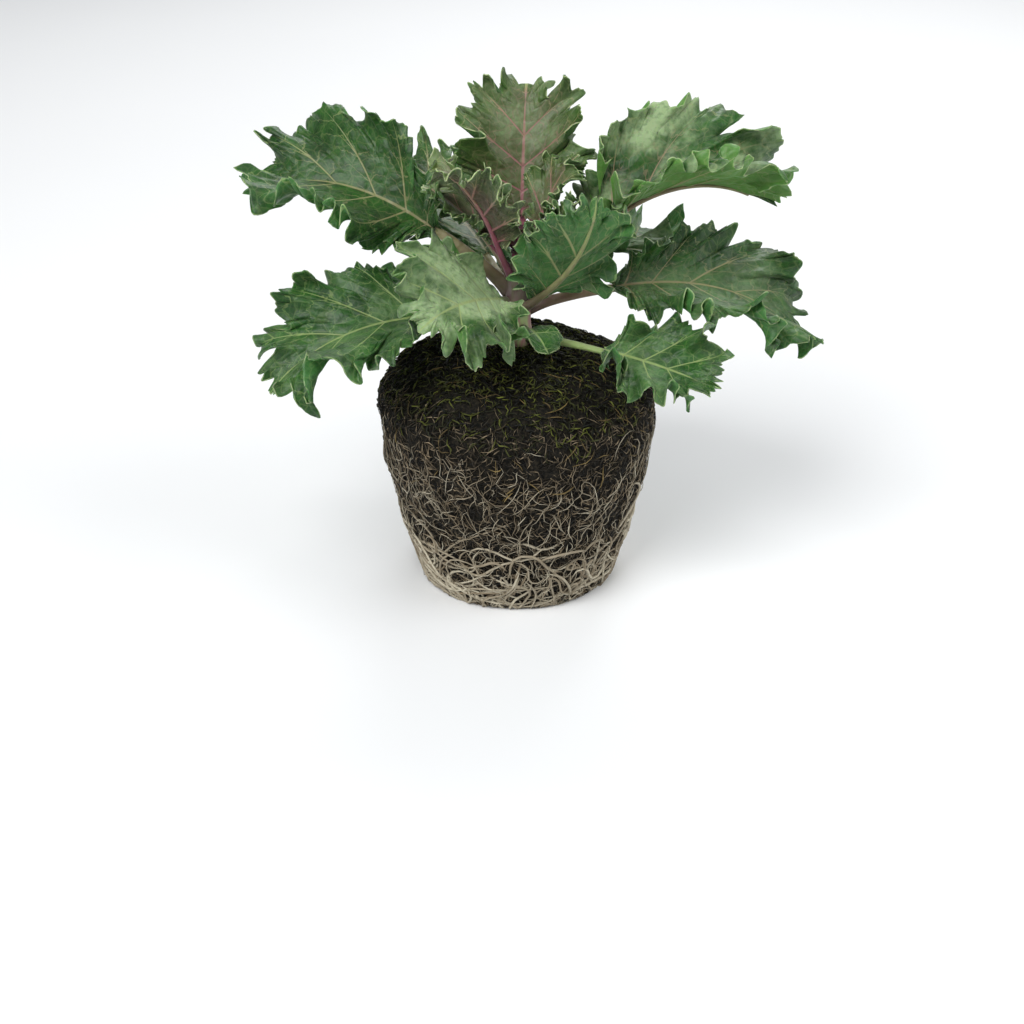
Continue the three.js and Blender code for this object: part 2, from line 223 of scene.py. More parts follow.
# A leaf's finish: how purple its blade and how pink its veins are, how much bloom it carries, the
# height of its ruffles as a share of their pitch, that pitch in millimetres, the size of its teeth,
# and the depth of the notch in its tip as a share of the half width.
LOWER = Finish(0.0, 0.10, 0.22, 0.50, 8.6, 1.0, 0.0)
MIDDLE = Finish(0.05, 0.45, 0.38, 0.54, 8.2, 1.0, 0.0)
INNER = Finish(0.46, 1.0, 0.42, 0.74, 4.7, 0.55, 0.0)
HEART = Finish(1.0, 1.0, 0.1, 0.40, 3.0, 0.6, 0.0)
FINISHES = {
    "lower_leaf_4": LOWER._replace(pink=0.55),
    "seed_leaf": LOWER._replace(pink=0.0, bloom=0.0, ruffle=0.04, tooth=0.2),
    "middle_leaf_1": MIDDLE._replace(pink=0.15, bloom=1.25),
    "middle_leaf_2": MIDDLE._replace(ruffle=0.46, pitch=9.2),
    "middle_leaf_3": MIDDLE._replace(bloom=0.0),
    "middle_leaf_5": MIDDLE._replace(pink=0.75, bloom=1.7),
    "inner_leaf_1": INNER._replace(purple=0.40, ruffle=0.48, pitch=6.8, tooth=0.8, notch=0.6),
    "inner_leaf_2": INNER._replace(purple=0.95),
    "inner_leaf_3": INNER._replace(ruffle=0.52),
    "inner_leaf_5": INNER._replace(ruffle=0.42),
}
PURPLE_NODES = ("middle_leaf_6", "inner_leaf_1", "inner_leaf_2", "inner_leaf_3", "inner_leaf_4",
                "inner_leaf_5")

# Where the petioles start out from the stem's middle, in millimetres, and the youngest leaves: how
# many, the angle from one to the next, their petiole, blade and half width, and how they shrink.
PETIOLE_START = 3.0
HEART_PETIOLE_START = 0.4
HEART_LEAVES = 8
HEART_LIFT = 0.6
HEART_SIZES = (2.6, 13.5, 5.2)
HEART_SHRINK = 0.085
GOLDEN_ANGLE = 137.5


def finish_of(name):
    """The finish of a leaf: its own where it has one, else that of its group."""
    group = {"lower": LOWER, "inner": INNER}.get(name.split("_")[0], MIDDLE)
    return FINISHES.get(name, group)


def paint(red, green, blue):
    """A colour given on the 0 to 255 scale of a screen, as linear light."""
    share = np.array((red, green, blue)) / 255.0
    return tuple(np.where(share <= 0.04045, share / 12.92, ((share + 0.055) / 1.055) ** 2.4))


def colour(name, description, value):
    """A colour property."""
    return FloatVectorProperty(name=name, description=description, subtype="COLOR", size=3,
                               min=0.0, max=1.0, default=value)


def length(name, description, millimetres):
    """A length property, given in millimetres and kept in metres."""
    return FloatProperty(name=name, description=description, unit="LENGTH", min=0.0,
                         default=millimetres * MM, precision=5)


def amount(name, description, value, most=1.0):
    """A plain number property."""
    return FloatProperty(name=name, description=description, min=0.0, max=most, default=value)


def count(name, description, value):
    """A whole number property."""
    return IntProperty(name=name, description=description, min=0, default=value)


class KaleLeafSettings(bpy.types.PropertyGroup):
    """Sizes and colours of the leaves."""
    thickness: length("Thickness", "Thickness of a leaf blade", 0.62)
    lobe_depth: amount("Lobe depth", "How far the bays cut in, as a share of the half width", 0.25)
    tooth_depth: length("Tooth depth", "How far the teeth cut in", 3.5)
    tooth_pitch: length("Tooth pitch", "Distance from tooth to tooth", 4.7)
    frill: amount("Frill", "Height of the large waves, as a share of the half width", 0.21)
    curl: amount("Curl", "How far the margin rolls over, in radians", 1.05, 3.0)
    pucker: length("Pucker", "Height of the blade between its veins", 0.75)
    vein: length("Vein", "Height of the veins under the blade", 0.55)
    green: colour("Green", "Colour of the upper face", paint(39, 94, 25))
    shade_green: colour("Deep green", "Colour between the veins", paint(19, 58, 15))
    bloom: colour("Bloom", "Colour of the waxy bloom", paint(148, 171, 126))
    # Painted light: a lighter yellow-green for the underside of the most bloomed leaves, standing
    # in for light shining through the blade.
    backlit_green: colour("Backlit green", "Underside of a leaf with much bloom", paint(98, 146, 64))
    under: colour("Underside", "Colour of the lower face", paint(60, 112, 52))
    vein_green: colour("Vein", "Colour of the veins", paint(150, 174, 106))
    vein_pink: colour("Pink vein", "Colour of the purple veins", paint(156, 84, 104))
    purple: colour("Purple", "Colour of the young leaves", paint(84, 58, 58))
    olive: colour("Olive", "Colour of the young leaves near their margin", paint(96, 116, 52))
    margin: colour("Margin", "Colour of the very edge", paint(176, 186, 140))
    heart: colour("Heart", "Colour of the youngest leaves", paint(66, 30, 50))


class KaleSoilSettings(bpy.types.PropertyGroup):
    """Grain and colours of the ball of soil."""
    crumb: length("Crumbs", "Height of the crumbs", 0.75)
    peat: count("Peat fibres", "Number of short brown fibres in the soil", 11500)
    straw: count("Straw", "Number of bits of straw on the soil", 300)
    moss: count("Moss", "Number of moss shoots on top", 3800)
    # The wet soil colour is the dark tone of fibres and moss and also serves as painted shade in
    # the soil's hollows.
    dark: colour("Wet soil", "Colour in the hollows", paint(6, 7, 5))
    brown: colour("Soil", "Colour of the crumbs", paint(21, 20, 15))
    fibre: colour("Peat fibre", "Colour of the brown fibres", paint(164, 146, 118))
    straw_colour: colour("Straw", "Colour of the straw", paint(150, 128, 78))
    moss_colour: colour("Moss", "Colour of the moss", paint(112, 118, 44))


class KaleRootSettings(bpy.types.PropertyGroup):
    """Number, sizes and colours of the roots on the ball."""
    runners: count("Runners", "Number of thick roots down the ball", 460)
    circling: count("Circling roots", "Number of roots that circle the foot", 80)
    hairs: count("Fine roots", "Number of fine white roots on the side", 1200)
    thickness: length("Thickness", "Radius of a thick root", 0.54)
    cream: colour("Root", "Colour of the roots", paint(206, 198, 176))
    stain: colour("Stain", "Colour where soil clings", paint(128, 114, 92))


class KaleStageSettings(bpy.types.PropertyGroup):
    """Camera and studio."""
    distance: length("Distance", "Distance of the camera from the ball's rim", 700.0)
    elevation: FloatProperty(name="Elevation", description="How steeply the camera looks down",
                             unit="ROTATION", default=math.radians(25))
    floor: colour("Floor", "Colour of the floor", (0.86, 0.87, 0.88))
    key: FloatProperty(name="Key light", description="Power of the large light", unit="POWER",
                       default=19.0)
    world: amount("Sky", "Strength of the even light", 0.2, 10.0)


# Numbers and grids.

def scatter(index, seed):
    """A repeatable number from 0 to 1: what follows the point in a large multiple of a sine."""
    value = np.sin(np.asarray(index) * 12.9898 + seed * 78.233) * 43758.5453
    return value - np.floor(value)


def ease(value):
    """Rises smoothly from 0 to 1, as three squares less two cubes."""
    share = np.clip(value, 0.0, 1.0)
    return share * share * (3.0 - 2.0 * share)


def unit(vectors):
    """Vectors brought to a length of one."""
    return vectors / np.maximum(np.linalg.norm(vectors, axis=-1, keepdims=True), 1e-12)


def lump_noise(points, size, seed):
    """Smooth noise from -1 to 1: a repeatable number on each corner of a lattice of that size,
    eased between corners."""
    cell = np.floor(points / size)
    part = ease(points / size - cell)
    total = 0.0
    for corner in itertools.product((0, 1), repeat=3):
        key = (cell + corner) @ np.array((1.0, 57.31, 113.73))
        near = np.prod(np.where(corner, part, 1.0 - part), axis=-1)
        total = total + near * scatter(key, seed)
    return 2.0 * total - 1.0


def smooth_curve(controls, share):
    """Points on a smooth curve through the controls: each stretch is the cubic whose slopes are
    half the step between the neighbours on either side."""
    points = np.array(controls, float)
    padded = np.vstack((points[:1], points, points[-1:]))
    place = np.clip(share, 0.0, 1.0) * (len(points) - 1)
    stretch = np.minimum(place.astype(int), len(points) - 2)
    t = (place - stretch)[:, None]
    before, start, end, after = (padded[stretch + k] for k in range(4))
    return 0.5 * (2 * start + (end - before) * t
                  + (2 * before - 5 * start + 4 * end - after) * t ** 2
                  + (3 * start - before - 3 * end + after) * t ** 3)


def vertex_normals(points, quads):
    """Normals at the points: the sum of the cross products of the diagonals of the quads around
    each."""
    corner = points[quads]
    face = np.cross(corner[:, 2] - corner[:, 0], corner[:, 3] - corner[:, 1])
    sums = [np.bincount(quads.ravel(), np.repeat(face[:, axis], 4), len(points))
            for axis in range(3)]
    return unit(np.stack(sums, -1))


def grid_quads(ids):
    """Quads between the neighbours of a grid of point numbers."""
    corners = (ids[:-1, :-1], ids[:-1, 1:], ids[1:, 1:], ids[1:, :-1])
    return np.stack(corners, -1).reshape(-1, 4)


def ring_quads(ids):
    """Quads between neighbouring rings of point numbers, each ring closed on itself."""
    ahead = np.roll(ids, -1, axis=1)
    return np.stack((ids[:-1], ahead[:-1], ahead[1:], ids[1:]), -1).reshape(-1, 4)


def tubes(paths, outward, radii, sides):
    """Round tubes along many paths at once: at each point a ring of that radius in the plane across
    the path, which starts square to the outward direction. Returns points, side quads and the two
    end caps."""
    tangent = unit(np.gradient(paths, axis=1))
    flank = unit(np.cross(tangent, outward))
    rise = np.cross(flank, tangent)
    turn = 2 * np.pi * np.arange(sides) / sides
    ring = (np.cos(turn)[:, None] * flank[:, :, None, :]
            + np.sin(turn)[:, None] * rise[:, :, None, :])
    points = paths[:, :, None, :] + radii[:, :, None, None] * ring
    ids = np.arange(points[..., 0].size).reshape(points.shape[:3])
    ahead = np.roll(ids, -1, axis=2)
    quads = np.stack((ids[:, :-1], ids[:, 1:], ahead[:, 1:], ahead[:, :-1]), -1).reshape(-1, 4)
    return points.reshape(-1, 3), [quads, ids[:, 0], ids[:, -1, ::-1]]


def put_mesh(name, points, faces, material, attributes=None):
    """A mesh object from points in millimetres and lists of faces, smooth shaded, with its point
    attributes."""
    mesh = bpy.data.meshes.new(name)
    corners = np.concatenate([part.ravel() for part in faces]).astype(np.int32)
    sizes = np.concatenate([np.full(len(part), part.shape[1]) for part in faces]).astype(np.int32)
    mesh.vertices.add(len(points))
    mesh.vertices.foreach_set("co", (points * MM).astype(np.float32).ravel())
    mesh.loops.add(len(corners))
    mesh.loops.foreach_set("vertex_index", corners)
    mesh.polygons.add(len(sizes))
    mesh.polygons.foreach_set("loop_start", (np.cumsum(sizes) - sizes).astype(np.int32))
    mesh.polygons.foreach_set("loop_total", sizes)
    mesh.polygons.foreach_set("use_smooth", np.ones(len(sizes), bool))
    for key, values in (attributes or {}).items():
        layer = mesh.attributes.new(key, "FLOAT_COLOR", "POINT")
        layer.data.foreach_set("color", values.astype(np.float32).ravel())
    mesh.update(calc_edges=True)
    if mesh.validate():
        raise RuntimeError(f"the mesh of {name} had faces that don't hold")
    mesh.materials.append(material)
    piece = bpy.data.objects.new(name, mesh)
    bpy.context.scene.collection.objects.link(piece)
    return piece


def settle(piece, slot, *nodes):
    """Ties a piece to the plant's body and hides the solids it stands for; the slot is not used."""
    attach(piece, BODY)
    if nodes:
        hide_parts(*nodes)


# Shader nodes.

FLOAT = "NodeSocketFloat"
COLOUR = "NodeSocketColor"


def feed(tree, node, inputs):
    """Feeds a node's inputs: a socket is linked, any other value is set."""
    for key, value in inputs.items():
        if isinstance(value, bpy.types.NodeSocket):
            tree.links.new(value, node.inputs[key])
        else:
            node.inputs[key].default_value = value


def add_node(tree, kind, inputs=None, **settings):
    """Adds a node with its settings and inputs."""
    node = tree.nodes.new(kind)
    for key, value in settings.items():
        setattr(node, key, value)
    feed(tree, node, inputs or {})
    return node


def calc(tree, operation, first, second, clamp=False):
    """The result of a Math node."""
    return add_node(tree, "ShaderNodeMath", {0: first, 1: second}, operation=operation,
                    use_clamp=clamp).outputs[0]


def times(tree, first, second, clamp=False):
    """The product of two values."""
    return calc(tree, "MULTIPLY", first, second, clamp)


def larger(tree, first, second):
    """The larger of two values."""
    return calc(tree, "MAXIMUM", first, second)


def step_between(tree, value, low, high, start=0.0, end=1.0):
    """Goes smoothly from start to end as the value goes from low to high."""
    return add_node(tree, "ShaderNodeMapRange", {0: value, 1: low, 2: high, 3: start, 4: end},
                    interpolation_type="SMOOTHSTEP").outputs[0]


def rgba(value):
    """A colour with its alpha, where it is not a socket."""
    return value if isinstance(value, bpy.types.NodeSocket) else (*value, 1.0)


def blend_colour(tree, factor, first, second):
    """A colour between two."""
    return add_node(tree, "ShaderNodeMix", {0: factor, 6: rgba(first), 7: rgba(second)},
                    data_type="RGBA").outputs[2]


def noise(tree, place, scale, detail, roughness=0.55):
    """The value of a noise texture."""
    return add_node(tree, "ShaderNodeTexNoise", {"Vector": place, "Scale": scale, "Detail": detail,
                                                 "Roughness": roughness}).outputs[0]


def cells(tree, place, scale):
    """The distance from the nearest border between the cells of a Voronoi texture."""
    return add_node(tree, "ShaderNodeTexVoronoi", {"Vector": place, "Scale": scale},
                    feature="DISTANCE_TO_EDGE").outputs[0]


def bump(tree, height, strength, distance):
    """A normal raised by a height."""
    return add_node(tree, "ShaderNodeBump", {"Height": height, "Strength": strength,
                                             "Distance": distance}).outputs[0]


def object_place(tree):
    """Object coordinates."""
    return add_node(tree, "ShaderNodeTexCoord").outputs["Object"]


def attribute(tree, name):
    """The red, green and blue parts of a point attribute, and its alpha."""
    source = add_node(tree, "ShaderNodeAttribute", attribute_name=name)
    parts = add_node(tree, "ShaderNodeSeparateColor", {0: source.outputs["Color"]})
    return (*parts.outputs[:3], source.outputs["Alpha"])


def node_group(name, inputs, outputs, fill):
    """A shader node group with named inputs and outputs, built once."""
    group = bpy.data.node_groups.get(name)
    if group:
        return group
    group = bpy.data.node_groups.new(name, "ShaderNodeTree")
    for key, (kind, value) in inputs.items():
        socket = group.interface.new_socket(name=key, in_out="INPUT", socket_type=kind)
        socket.default_value = value
    for key, kind in outputs.items():
        group.interface.new_socket(name=key, in_out="OUTPUT", socket_type=kind)
    start = group.nodes.new("NodeGroupInput")
    end = group.nodes.new("NodeGroupOutput")
    feed(group, end, fill(group, start.outputs))
    return group


def use_group(tree, group, inputs=None):
    """Places a node group and returns its outputs."""
    return add_node(tree, "ShaderNodeGroup", inputs, node_tree=group).outputs


def vein_group():
    """Masks of a leaf's veins, net and margin, and the height of its puckers, from the distances
    kept on its points."""
    def fill(tree, _given):
        vein, middle, edge, _ = attribute(tree, "leaf_lines")
        turns, apart, _, _ = attribute(tree, "leaf_net")
        out = attribute(tree, "leaf_tints")[3]
        place = object_place(tree)
        bend = add_node(tree, "ShaderNodeTexNoise", {"Vector": place, "Scale": NET_BEND_SCALE,
                                                     "Detail": 2.0}).outputs[1]
        shift = add_node(tree, "ShaderNodeVectorMath", {0: bend, 1: (NET_BEND,) * 3},
                         operation="MULTIPLY").outputs[0]
        moved = add_node(tree, "ShaderNodeVectorMath", {0: place, 1: shift}).outputs[0]
        net_cells = cells(tree, moved, NET_SCALE)
        fine_cells = cells(tree, moved, FINE_NET_SCALE)

        side_width = step_between(tree, out, 0.0, 1.0, 0.062, 0.024)
        side = step_between(tree, calc(tree, "DIVIDE", vein, side_width), 0.35, 1.0, 1.0, 0.0)
        midrib_line = step_between(tree, middle, 0.022, 0.056, 1.0, 0.0)
        net = step_between(tree, net_cells, 0.0, 0.06, 1.0, 0.0)
        fine = step_between(tree, fine_cells, 0.0, 0.11, 1.0, 0.0)
        sway = step_between(tree, noise(tree, place, BRANCH_SWAY_SCALE, 2.0),
                            0.25, 0.75, -0.16, 0.16)
        near = calc(tree, "PINGPONG", calc(tree, "ADD", turns, sway), 0.5)
        branch = times(tree, step_between(tree, near, 0.015, 0.07, 1.0, 0.0),
                       step_between(tree, apart, 0.1, 1.0, 0.6, 0.2))
        lines = larger(tree, larger(tree, side, midrib_line), times(tree, net, 0.22))
        lines = larger(tree, larger(tree, lines, branch), times(tree, fine, 0.1))

        worn = step_between(tree, noise(tree, place, MARGIN_WEAR_SCALE, 2.0), 0.4, 0.62)
        rim = times(tree, step_between(tree, edge, 0.008, 0.022, 1.0, 0.0), worn)

        dome = step_between(tree, net_cells, 0.0, 0.4)
        small = step_between(tree, fine_cells, 0.0, 0.4)
        height = calc(tree, "ADD", times(tree, dome, 0.8), times(tree, small, 0.14))
        height = calc(tree, "SUBTRACT", height, times(tree, side, 0.5))
        return {"Veins": lines, "Margin": rim, "Puckers": height}
    outputs = {"Veins": FLOAT, "Margin": FLOAT, "Puckers": FLOAT}
    return node_group("leaf veins", {}, outputs, fill)


def bloom_group():
    """A waxy bloom: a pale colour that lies in soft patches and is rubbed off in small spots, and
    its roughness."""
    def fill(tree, given):
        place = object_place(tree)
        patches = step_between(tree, noise(tree, place, BLOOM_SCALE, 4.0), 0.39, 0.63)
        rubbed = step_between(tree, noise(tree, place, RUBBED_SCALE, 2.0), 0.3, 0.62, 0.55, 1.0)
        cover = times(tree, times(tree, patches, rubbed), given["Amount"], clamp=True)
        shown = blend_colour(tree, cover, given["Colour"], given["Bloom"])
        return {"Colour": shown, "Roughness": step_between(tree, cover, 0.0, 1.0, 0.48, 0.7)}
    inputs = {"Colour": (COLOUR, (0.1, 0.2, 0.1, 1.0)), "Bloom": (COLOUR, (0.4, 0.5, 0.4, 1.0)),
              "Amount": (FLOAT, 0.5)}
    return node_group("waxy bloom", inputs, {"Colour": COLOUR, "Roughness": FLOAT}, fill)


def grain_group():
    """Fine grain on soil, fibres and roots: masks of stains and specks, and a height, from a coarse
    and a fine noise."""
    def fill(tree, given):
        place = object_place(tree)
        coarse = noise(tree, place, given["Scale"], 6.0, 0.68)
        speck = noise(tree, place, times(tree, given["Scale"], 5.0), 3.0, 0.7)
        height = calc(tree, "ADD", times(tree, coarse, 0.65), times(tree, speck, 0.35))
        return {"Stain": step_between(tree, coarse, 0.36, 0.66),
                "Speck": step_between(tree, speck, 0.4, 0.72), "Height": height}
    outputs = {"Stain": FLOAT, "Speck": FLOAT, "Height": FLOAT}
    return node_group("fine grain", {"Scale": (FLOAT, 200.0)}, outputs, fill)


def new_material(name):
    """A material, its node tree and its Principled shader."""
    material = bpy.data.materials.new(name)
    material.use_nodes = True
    tree = material.node_tree
    return material, tree, tree.nodes["Principled BSDF"]


def leaf_material(name, settings, young):
    """The skin of a leaf: deep green between the veins, a waxy bloom, purple toward the base of
    young leaves, pale or pink veins, a mottled underside that is painted a lighter yellow-green on
    the most bloomed leaves as painted light shining through the blade, petiole feet dark purple
    near the stem, partly their own purple and partly painted shade, and a thin pale margin."""
    material, tree, shader = new_material(name)
    veins = use_group(tree, vein_group())
    purple, pink, bloom, out = attribute(tree, "leaf_tints")
    under = attribute(tree, "leaf_lines")[3]
    purple_and_shade_at_stem = attribute(tree, "leaf_net")[2]
    place = object_place(tree)
    mottle = step_between(tree, noise(tree, place, MOTTLE_SCALE, 5.0, 0.6), 0.25, 0.72)
    flush = times(tree, purple, step_between(tree, noise(tree, place, FLUSH_SCALE, 4.0),
                                             0.2, 0.6, 0.6, 1.0))

    skin = blend_colour(tree, mottle, settings.shade_green, settings.green)
    raised = step_between(tree, veins["Puckers"], 0.25, 0.8, 0.0, 0.45)
    skin = blend_colour(tree, raised, skin, settings.shade_green)
    if young:
        skin = blend_colour(tree, purple, skin, settings.olive)
    inward = step_between(tree, out, 0.35, 1.0, 1.0, 0.12)
    skin = blend_colour(tree, times(tree, flush, inward), skin, settings.purple)
    waxed = use_group(tree, bloom_group(), {"Colour": skin, "Bloom": rgba(settings.bloom),
                                            "Amount": bloom})

    patchy = step_between(tree, mottle, 0.0, 0.9, 0.38, 1.0)
    below = blend_colour(tree, patchy, settings.shade_green, settings.under)
    below = blend_colour(tree, times(tree, flush, 0.8), below, settings.purple)
    # Painted light: on the most bloomed leaves the underside turns a lighter yellow-green, as if
    # lit through the blade.
    lighter = step_between(tree, bloom, 0.5, 1.2, 0.0, 0.62)
    below = blend_colour(tree, lighter, below, settings.backlit_green)

    skin = blend_colour(tree, under, waxed["Colour"], below)
    line = blend_colour(tree, pink, settings.vein_green, settings.vein_pink)
    # Painted shade: near the stem the petiole's lines turn dark purple, partly their own purple and
    # partly painted shade where the leaves crowd.
    line = blend_colour(tree, purple_and_shade_at_stem, line, settings.heart)
    skin = blend_colour(tree, times(tree, veins["Veins"], 0.9 if young else 0.76), skin, line)
    skin = blend_colour(tree, times(tree, veins["Margin"], 0.9 if young else 0.55),
                        skin, settings.margin)
    feed(tree, shader, {
        "Base Color": skin,
        "Roughness": waxed["Roughness"],
        "Normal": bump(tree, veins["Puckers"], 0.45, 0.0007),
        "Subsurface Weight": 0.4,
        "Subsurface Radius": (0.45, 1.0, 0.25),
        "Subsurface Scale": 0.0012,
        "Specular IOR Level": 0.42,
        "Sheen Weight": 0.12,
        "Sheen Roughness": 0.4,
    })
    return material


def heart_material(settings):
    """The skin of the youngest leaves: dark purple, paler on the veins and ruffled edge, with a
    soft shine."""
    material, tree, shader = new_material("kale_heart")
    veins = use_group(tree, vein_group())
    tone = step_between(tree, noise(tree, object_place(tree), HEART_SCALE, 4.0), 0.3, 0.7)
    skin = blend_colour(tree, tone, settings.heart, settings.purple)
    skin = blend_colour(tree, times(tree, veins["Veins"], 0.5), skin, settings.vein_pink)
    skin = blend_colour(tree, times(tree, veins["Margin"], 0.4), skin, settings.olive)
    feed(tree, shader, {
        "Base Color": skin,
        "Roughness": step_between(tree, tone, 0.0, 1.0, 0.34, 0.55),
        "Normal": bump(tree, veins["Puckers"], 0.5, 0.0005),
        "Subsurface Weight": 0.1,
        "Subsurface Scale": 0.001,
    })
    return material


def stem_material(settings):
    """The skin of the stem: dull purple streaked with green along its length, dark toward the top,
    with a bloom."""
    material, tree, shader = new_material("kale_stem")
    place = object_place(tree)
    drawn = add_node(tree, "ShaderNodeMapping", {"Vector": place, "Scale": (1.0, 1.0, 0.18)})
    streak = step_between(tree, noise(tree, drawn.outputs[0], STREAK_SCALE, 5.0), 0.35, 0.65)
    skin = blend_colour(tree, streak, settings.vein_pink, settings.vein_green)
    height = add_node(tree, "ShaderNodeSeparateXYZ", {"Vector": place}).outputs[2]
    upper = step_between(tree, height, 0.103, 0.114, 0.0, 0.88)
    skin = blend_colour(tree, upper, skin, settings.heart)
    waxed = use_group(tree, bloom_group(), {"Colour": skin, "Bloom": rgba(settings.bloom),
                                            "Amount": 0.25})
    feed(tree, shader, {
        "Base Color": waxed["Colour"],
        "Roughness": waxed["Roughness"],
        "Normal": bump(tree, streak, 0.3, 0.0004),
    })
    return material


def soil_material(settings):
    """Potting soil: near black in the hollows as painted shade, brown crumbs that are lighter where
    raised as painted light, and a few pale specks, all rough.
    """
    material, tree, shader = new_material("potting_soil")
    grain = use_group(tree, grain_group(), {"Scale": SOIL_SCALE})
    raised = attribute(tree, "soil_form")[0]
    # Painted light and shade: the soil's stains show brown on raised crumbs and stay near black in
    # the hollows.
    lit = times(tree, grain["Stain"], step_between(tree, raised, 0.3, 0.75, 0.35, 1.0))
    earth = blend_colour(tree, lit, settings.dark, settings.brown)
    earth = blend_colour(tree, times(tree, grain["Speck"], 0.07), earth, settings.fibre)
    feed(tree, shader, {
        "Base Color": earth,
        "Roughness": step_between(tree, grain["Height"], 0.2, 0.8, 0.8, 1.0),
        "Normal": bump(tree, grain["Height"], 0.9, 0.0009),
        "Specular IOR Level": 0.2,
    })
    return material


def strand_material(name, pale, deep, scale, lean=1.0):
    """The skin of fibres, straw, moss or roots: each strand has its own tone, mostly deep where the
    lean is over one, with stains along it."""
    material, tree, shader = new_material(name)
    grain = use_group(tree, grain_group(), {"Scale": scale})
    own = calc(tree, "POWER", attribute(tree, "strand_tone")[0], lean)
    tone = times(tree, own, step_between(tree, grain["Stain"], 0.0, 1.0, 0.55, 1.0))
    feed(tree, shader, {
        "Base Color": blend_colour(tree, tone, deep, pale),
        "Roughness": step_between(tree, grain["Speck"], 0.0, 1.0, 0.5, 0.8),
        "Normal": bump(tree, grain["Height"], 0.35, 0.0002),
        "Specular IOR Level": 0.3,
    })
    return material


def floor_material(settings):
    """A pale matt floor with the faintest unevenness."""
    material, tree, shader = new_material("studio_floor")
    tone = step_between(tree, noise(tree, object_place(tree), FLOOR_SCALE, 2.0), 0.2, 0.8)
    paler = tuple(min(1.0, part * 1.02) for part in settings.floor)
    feed(tree, shader, {
        "Base Color": blend_colour(tree, tone, settings.floor, paler),
        "Roughness": 0.9,
        "Specular IOR Level": 0.1,
    })
    return material


# Leaves.

def lobes_of(leaf):
    """Lobes on each side of a blade."""
    if leaf.blade < TINY_BLADE:
        return TINY_LOBES
    return SMALL_LOBES if leaf.blade < SMALL_BLADE else LOBES


def midrib(leaf):
    """Stations along a leaf from the stem to its tip: how far each lies, its point, and the
    directions along, to the right and up. The slope eases from rise to level over the petiole, then
    bends on to droop over the blade; the points are its running sum, and right and up turn about it
    by the roll."""
    reach = leaf.petiole + leaf.blade
    foot = leaf.petiole / reach
    share = np.linspace(0.0, 1.0, MIDRIB_STEPS + 1)
    on_blade = np.maximum(0.0, (share - foot) / (1.0 - foot))
    rise, level, droop = leaf.slopes
    slope = np.radians(rise + (level - rise) * ease(share / foot)
                       + (droop - level) * on_blade ** 1.4)
    roll = np.radians(leaf.roll + leaf.twist * on_blade)
    zero = np.zeros_like(share)
    along = np.stack((np.cos(slope), zero, np.sin(slope)), -1)
    steps = 0.5 * (along[1:] + along[:-1]) * reach / MIDRIB_STEPS
    point = np.vstack((np.zeros(3), np.cumsum(steps, axis=0)))
    level_right = np.array((0.0, -1.0, 0.0))
    level_up = np.stack((-np.sin(slope), zero, np.cos(slope)), -1)
    right = level_right * np.cos(roll)[:, None] + level_up * np.sin(roll)[:, None]
    return share * reach, point, along, right, np.cross(right, along)


def at_station(stations, values, place):
    """Vectors kept at stations, read at any place between them."""
    return np.stack([np.interp(place, stations, values[:, axis]) for axis in range(3)], -1)


def stand_on_stem(points, leaf):
    """Turns a leaf's points to its bearing and lifts them to its place on the stem."""
    turn = math.radians(leaf.azimuth)
    spin = np.array(((math.cos(turn), -math.sin(turn), 0.0),
                     (math.sin(turn), math.cos(turn), 0.0), (0.0, 0.0, 1.0)))
    return points @ spin.T + np.array((0.0, 0.0, leaf.height))


def margin_line(leaf, vein):
    """Where a side vein leaves the midrib and where it meets the egg-shaped margin, from the
    blade's foot: its place along the midrib, the margin's distance out and its distance along.
    Both halves of the egg follow a sine out, each to a power of its own, and a cosine along."""
    turn = np.pi * (1.0 - vein)
    swing = np.abs(np.sin(turn))
    widest = WIDEST * leaf.blade
    near_tip = vein >= 0.5
    out = np.where(near_tip, leaf.half_width * swing ** 0.65,
                   BASE_HALF_WIDTH + (leaf.half_width - BASE_HALF_WIDTH) * swing ** 1.4)
    along = np.where(near_tip, widest + (leaf.blade - widest) * np.cos(turn),
                     widest * (1.0 + np.cos(turn)))
    return VEIN_REACH * leaf.blade * vein ** 1.6, out, along


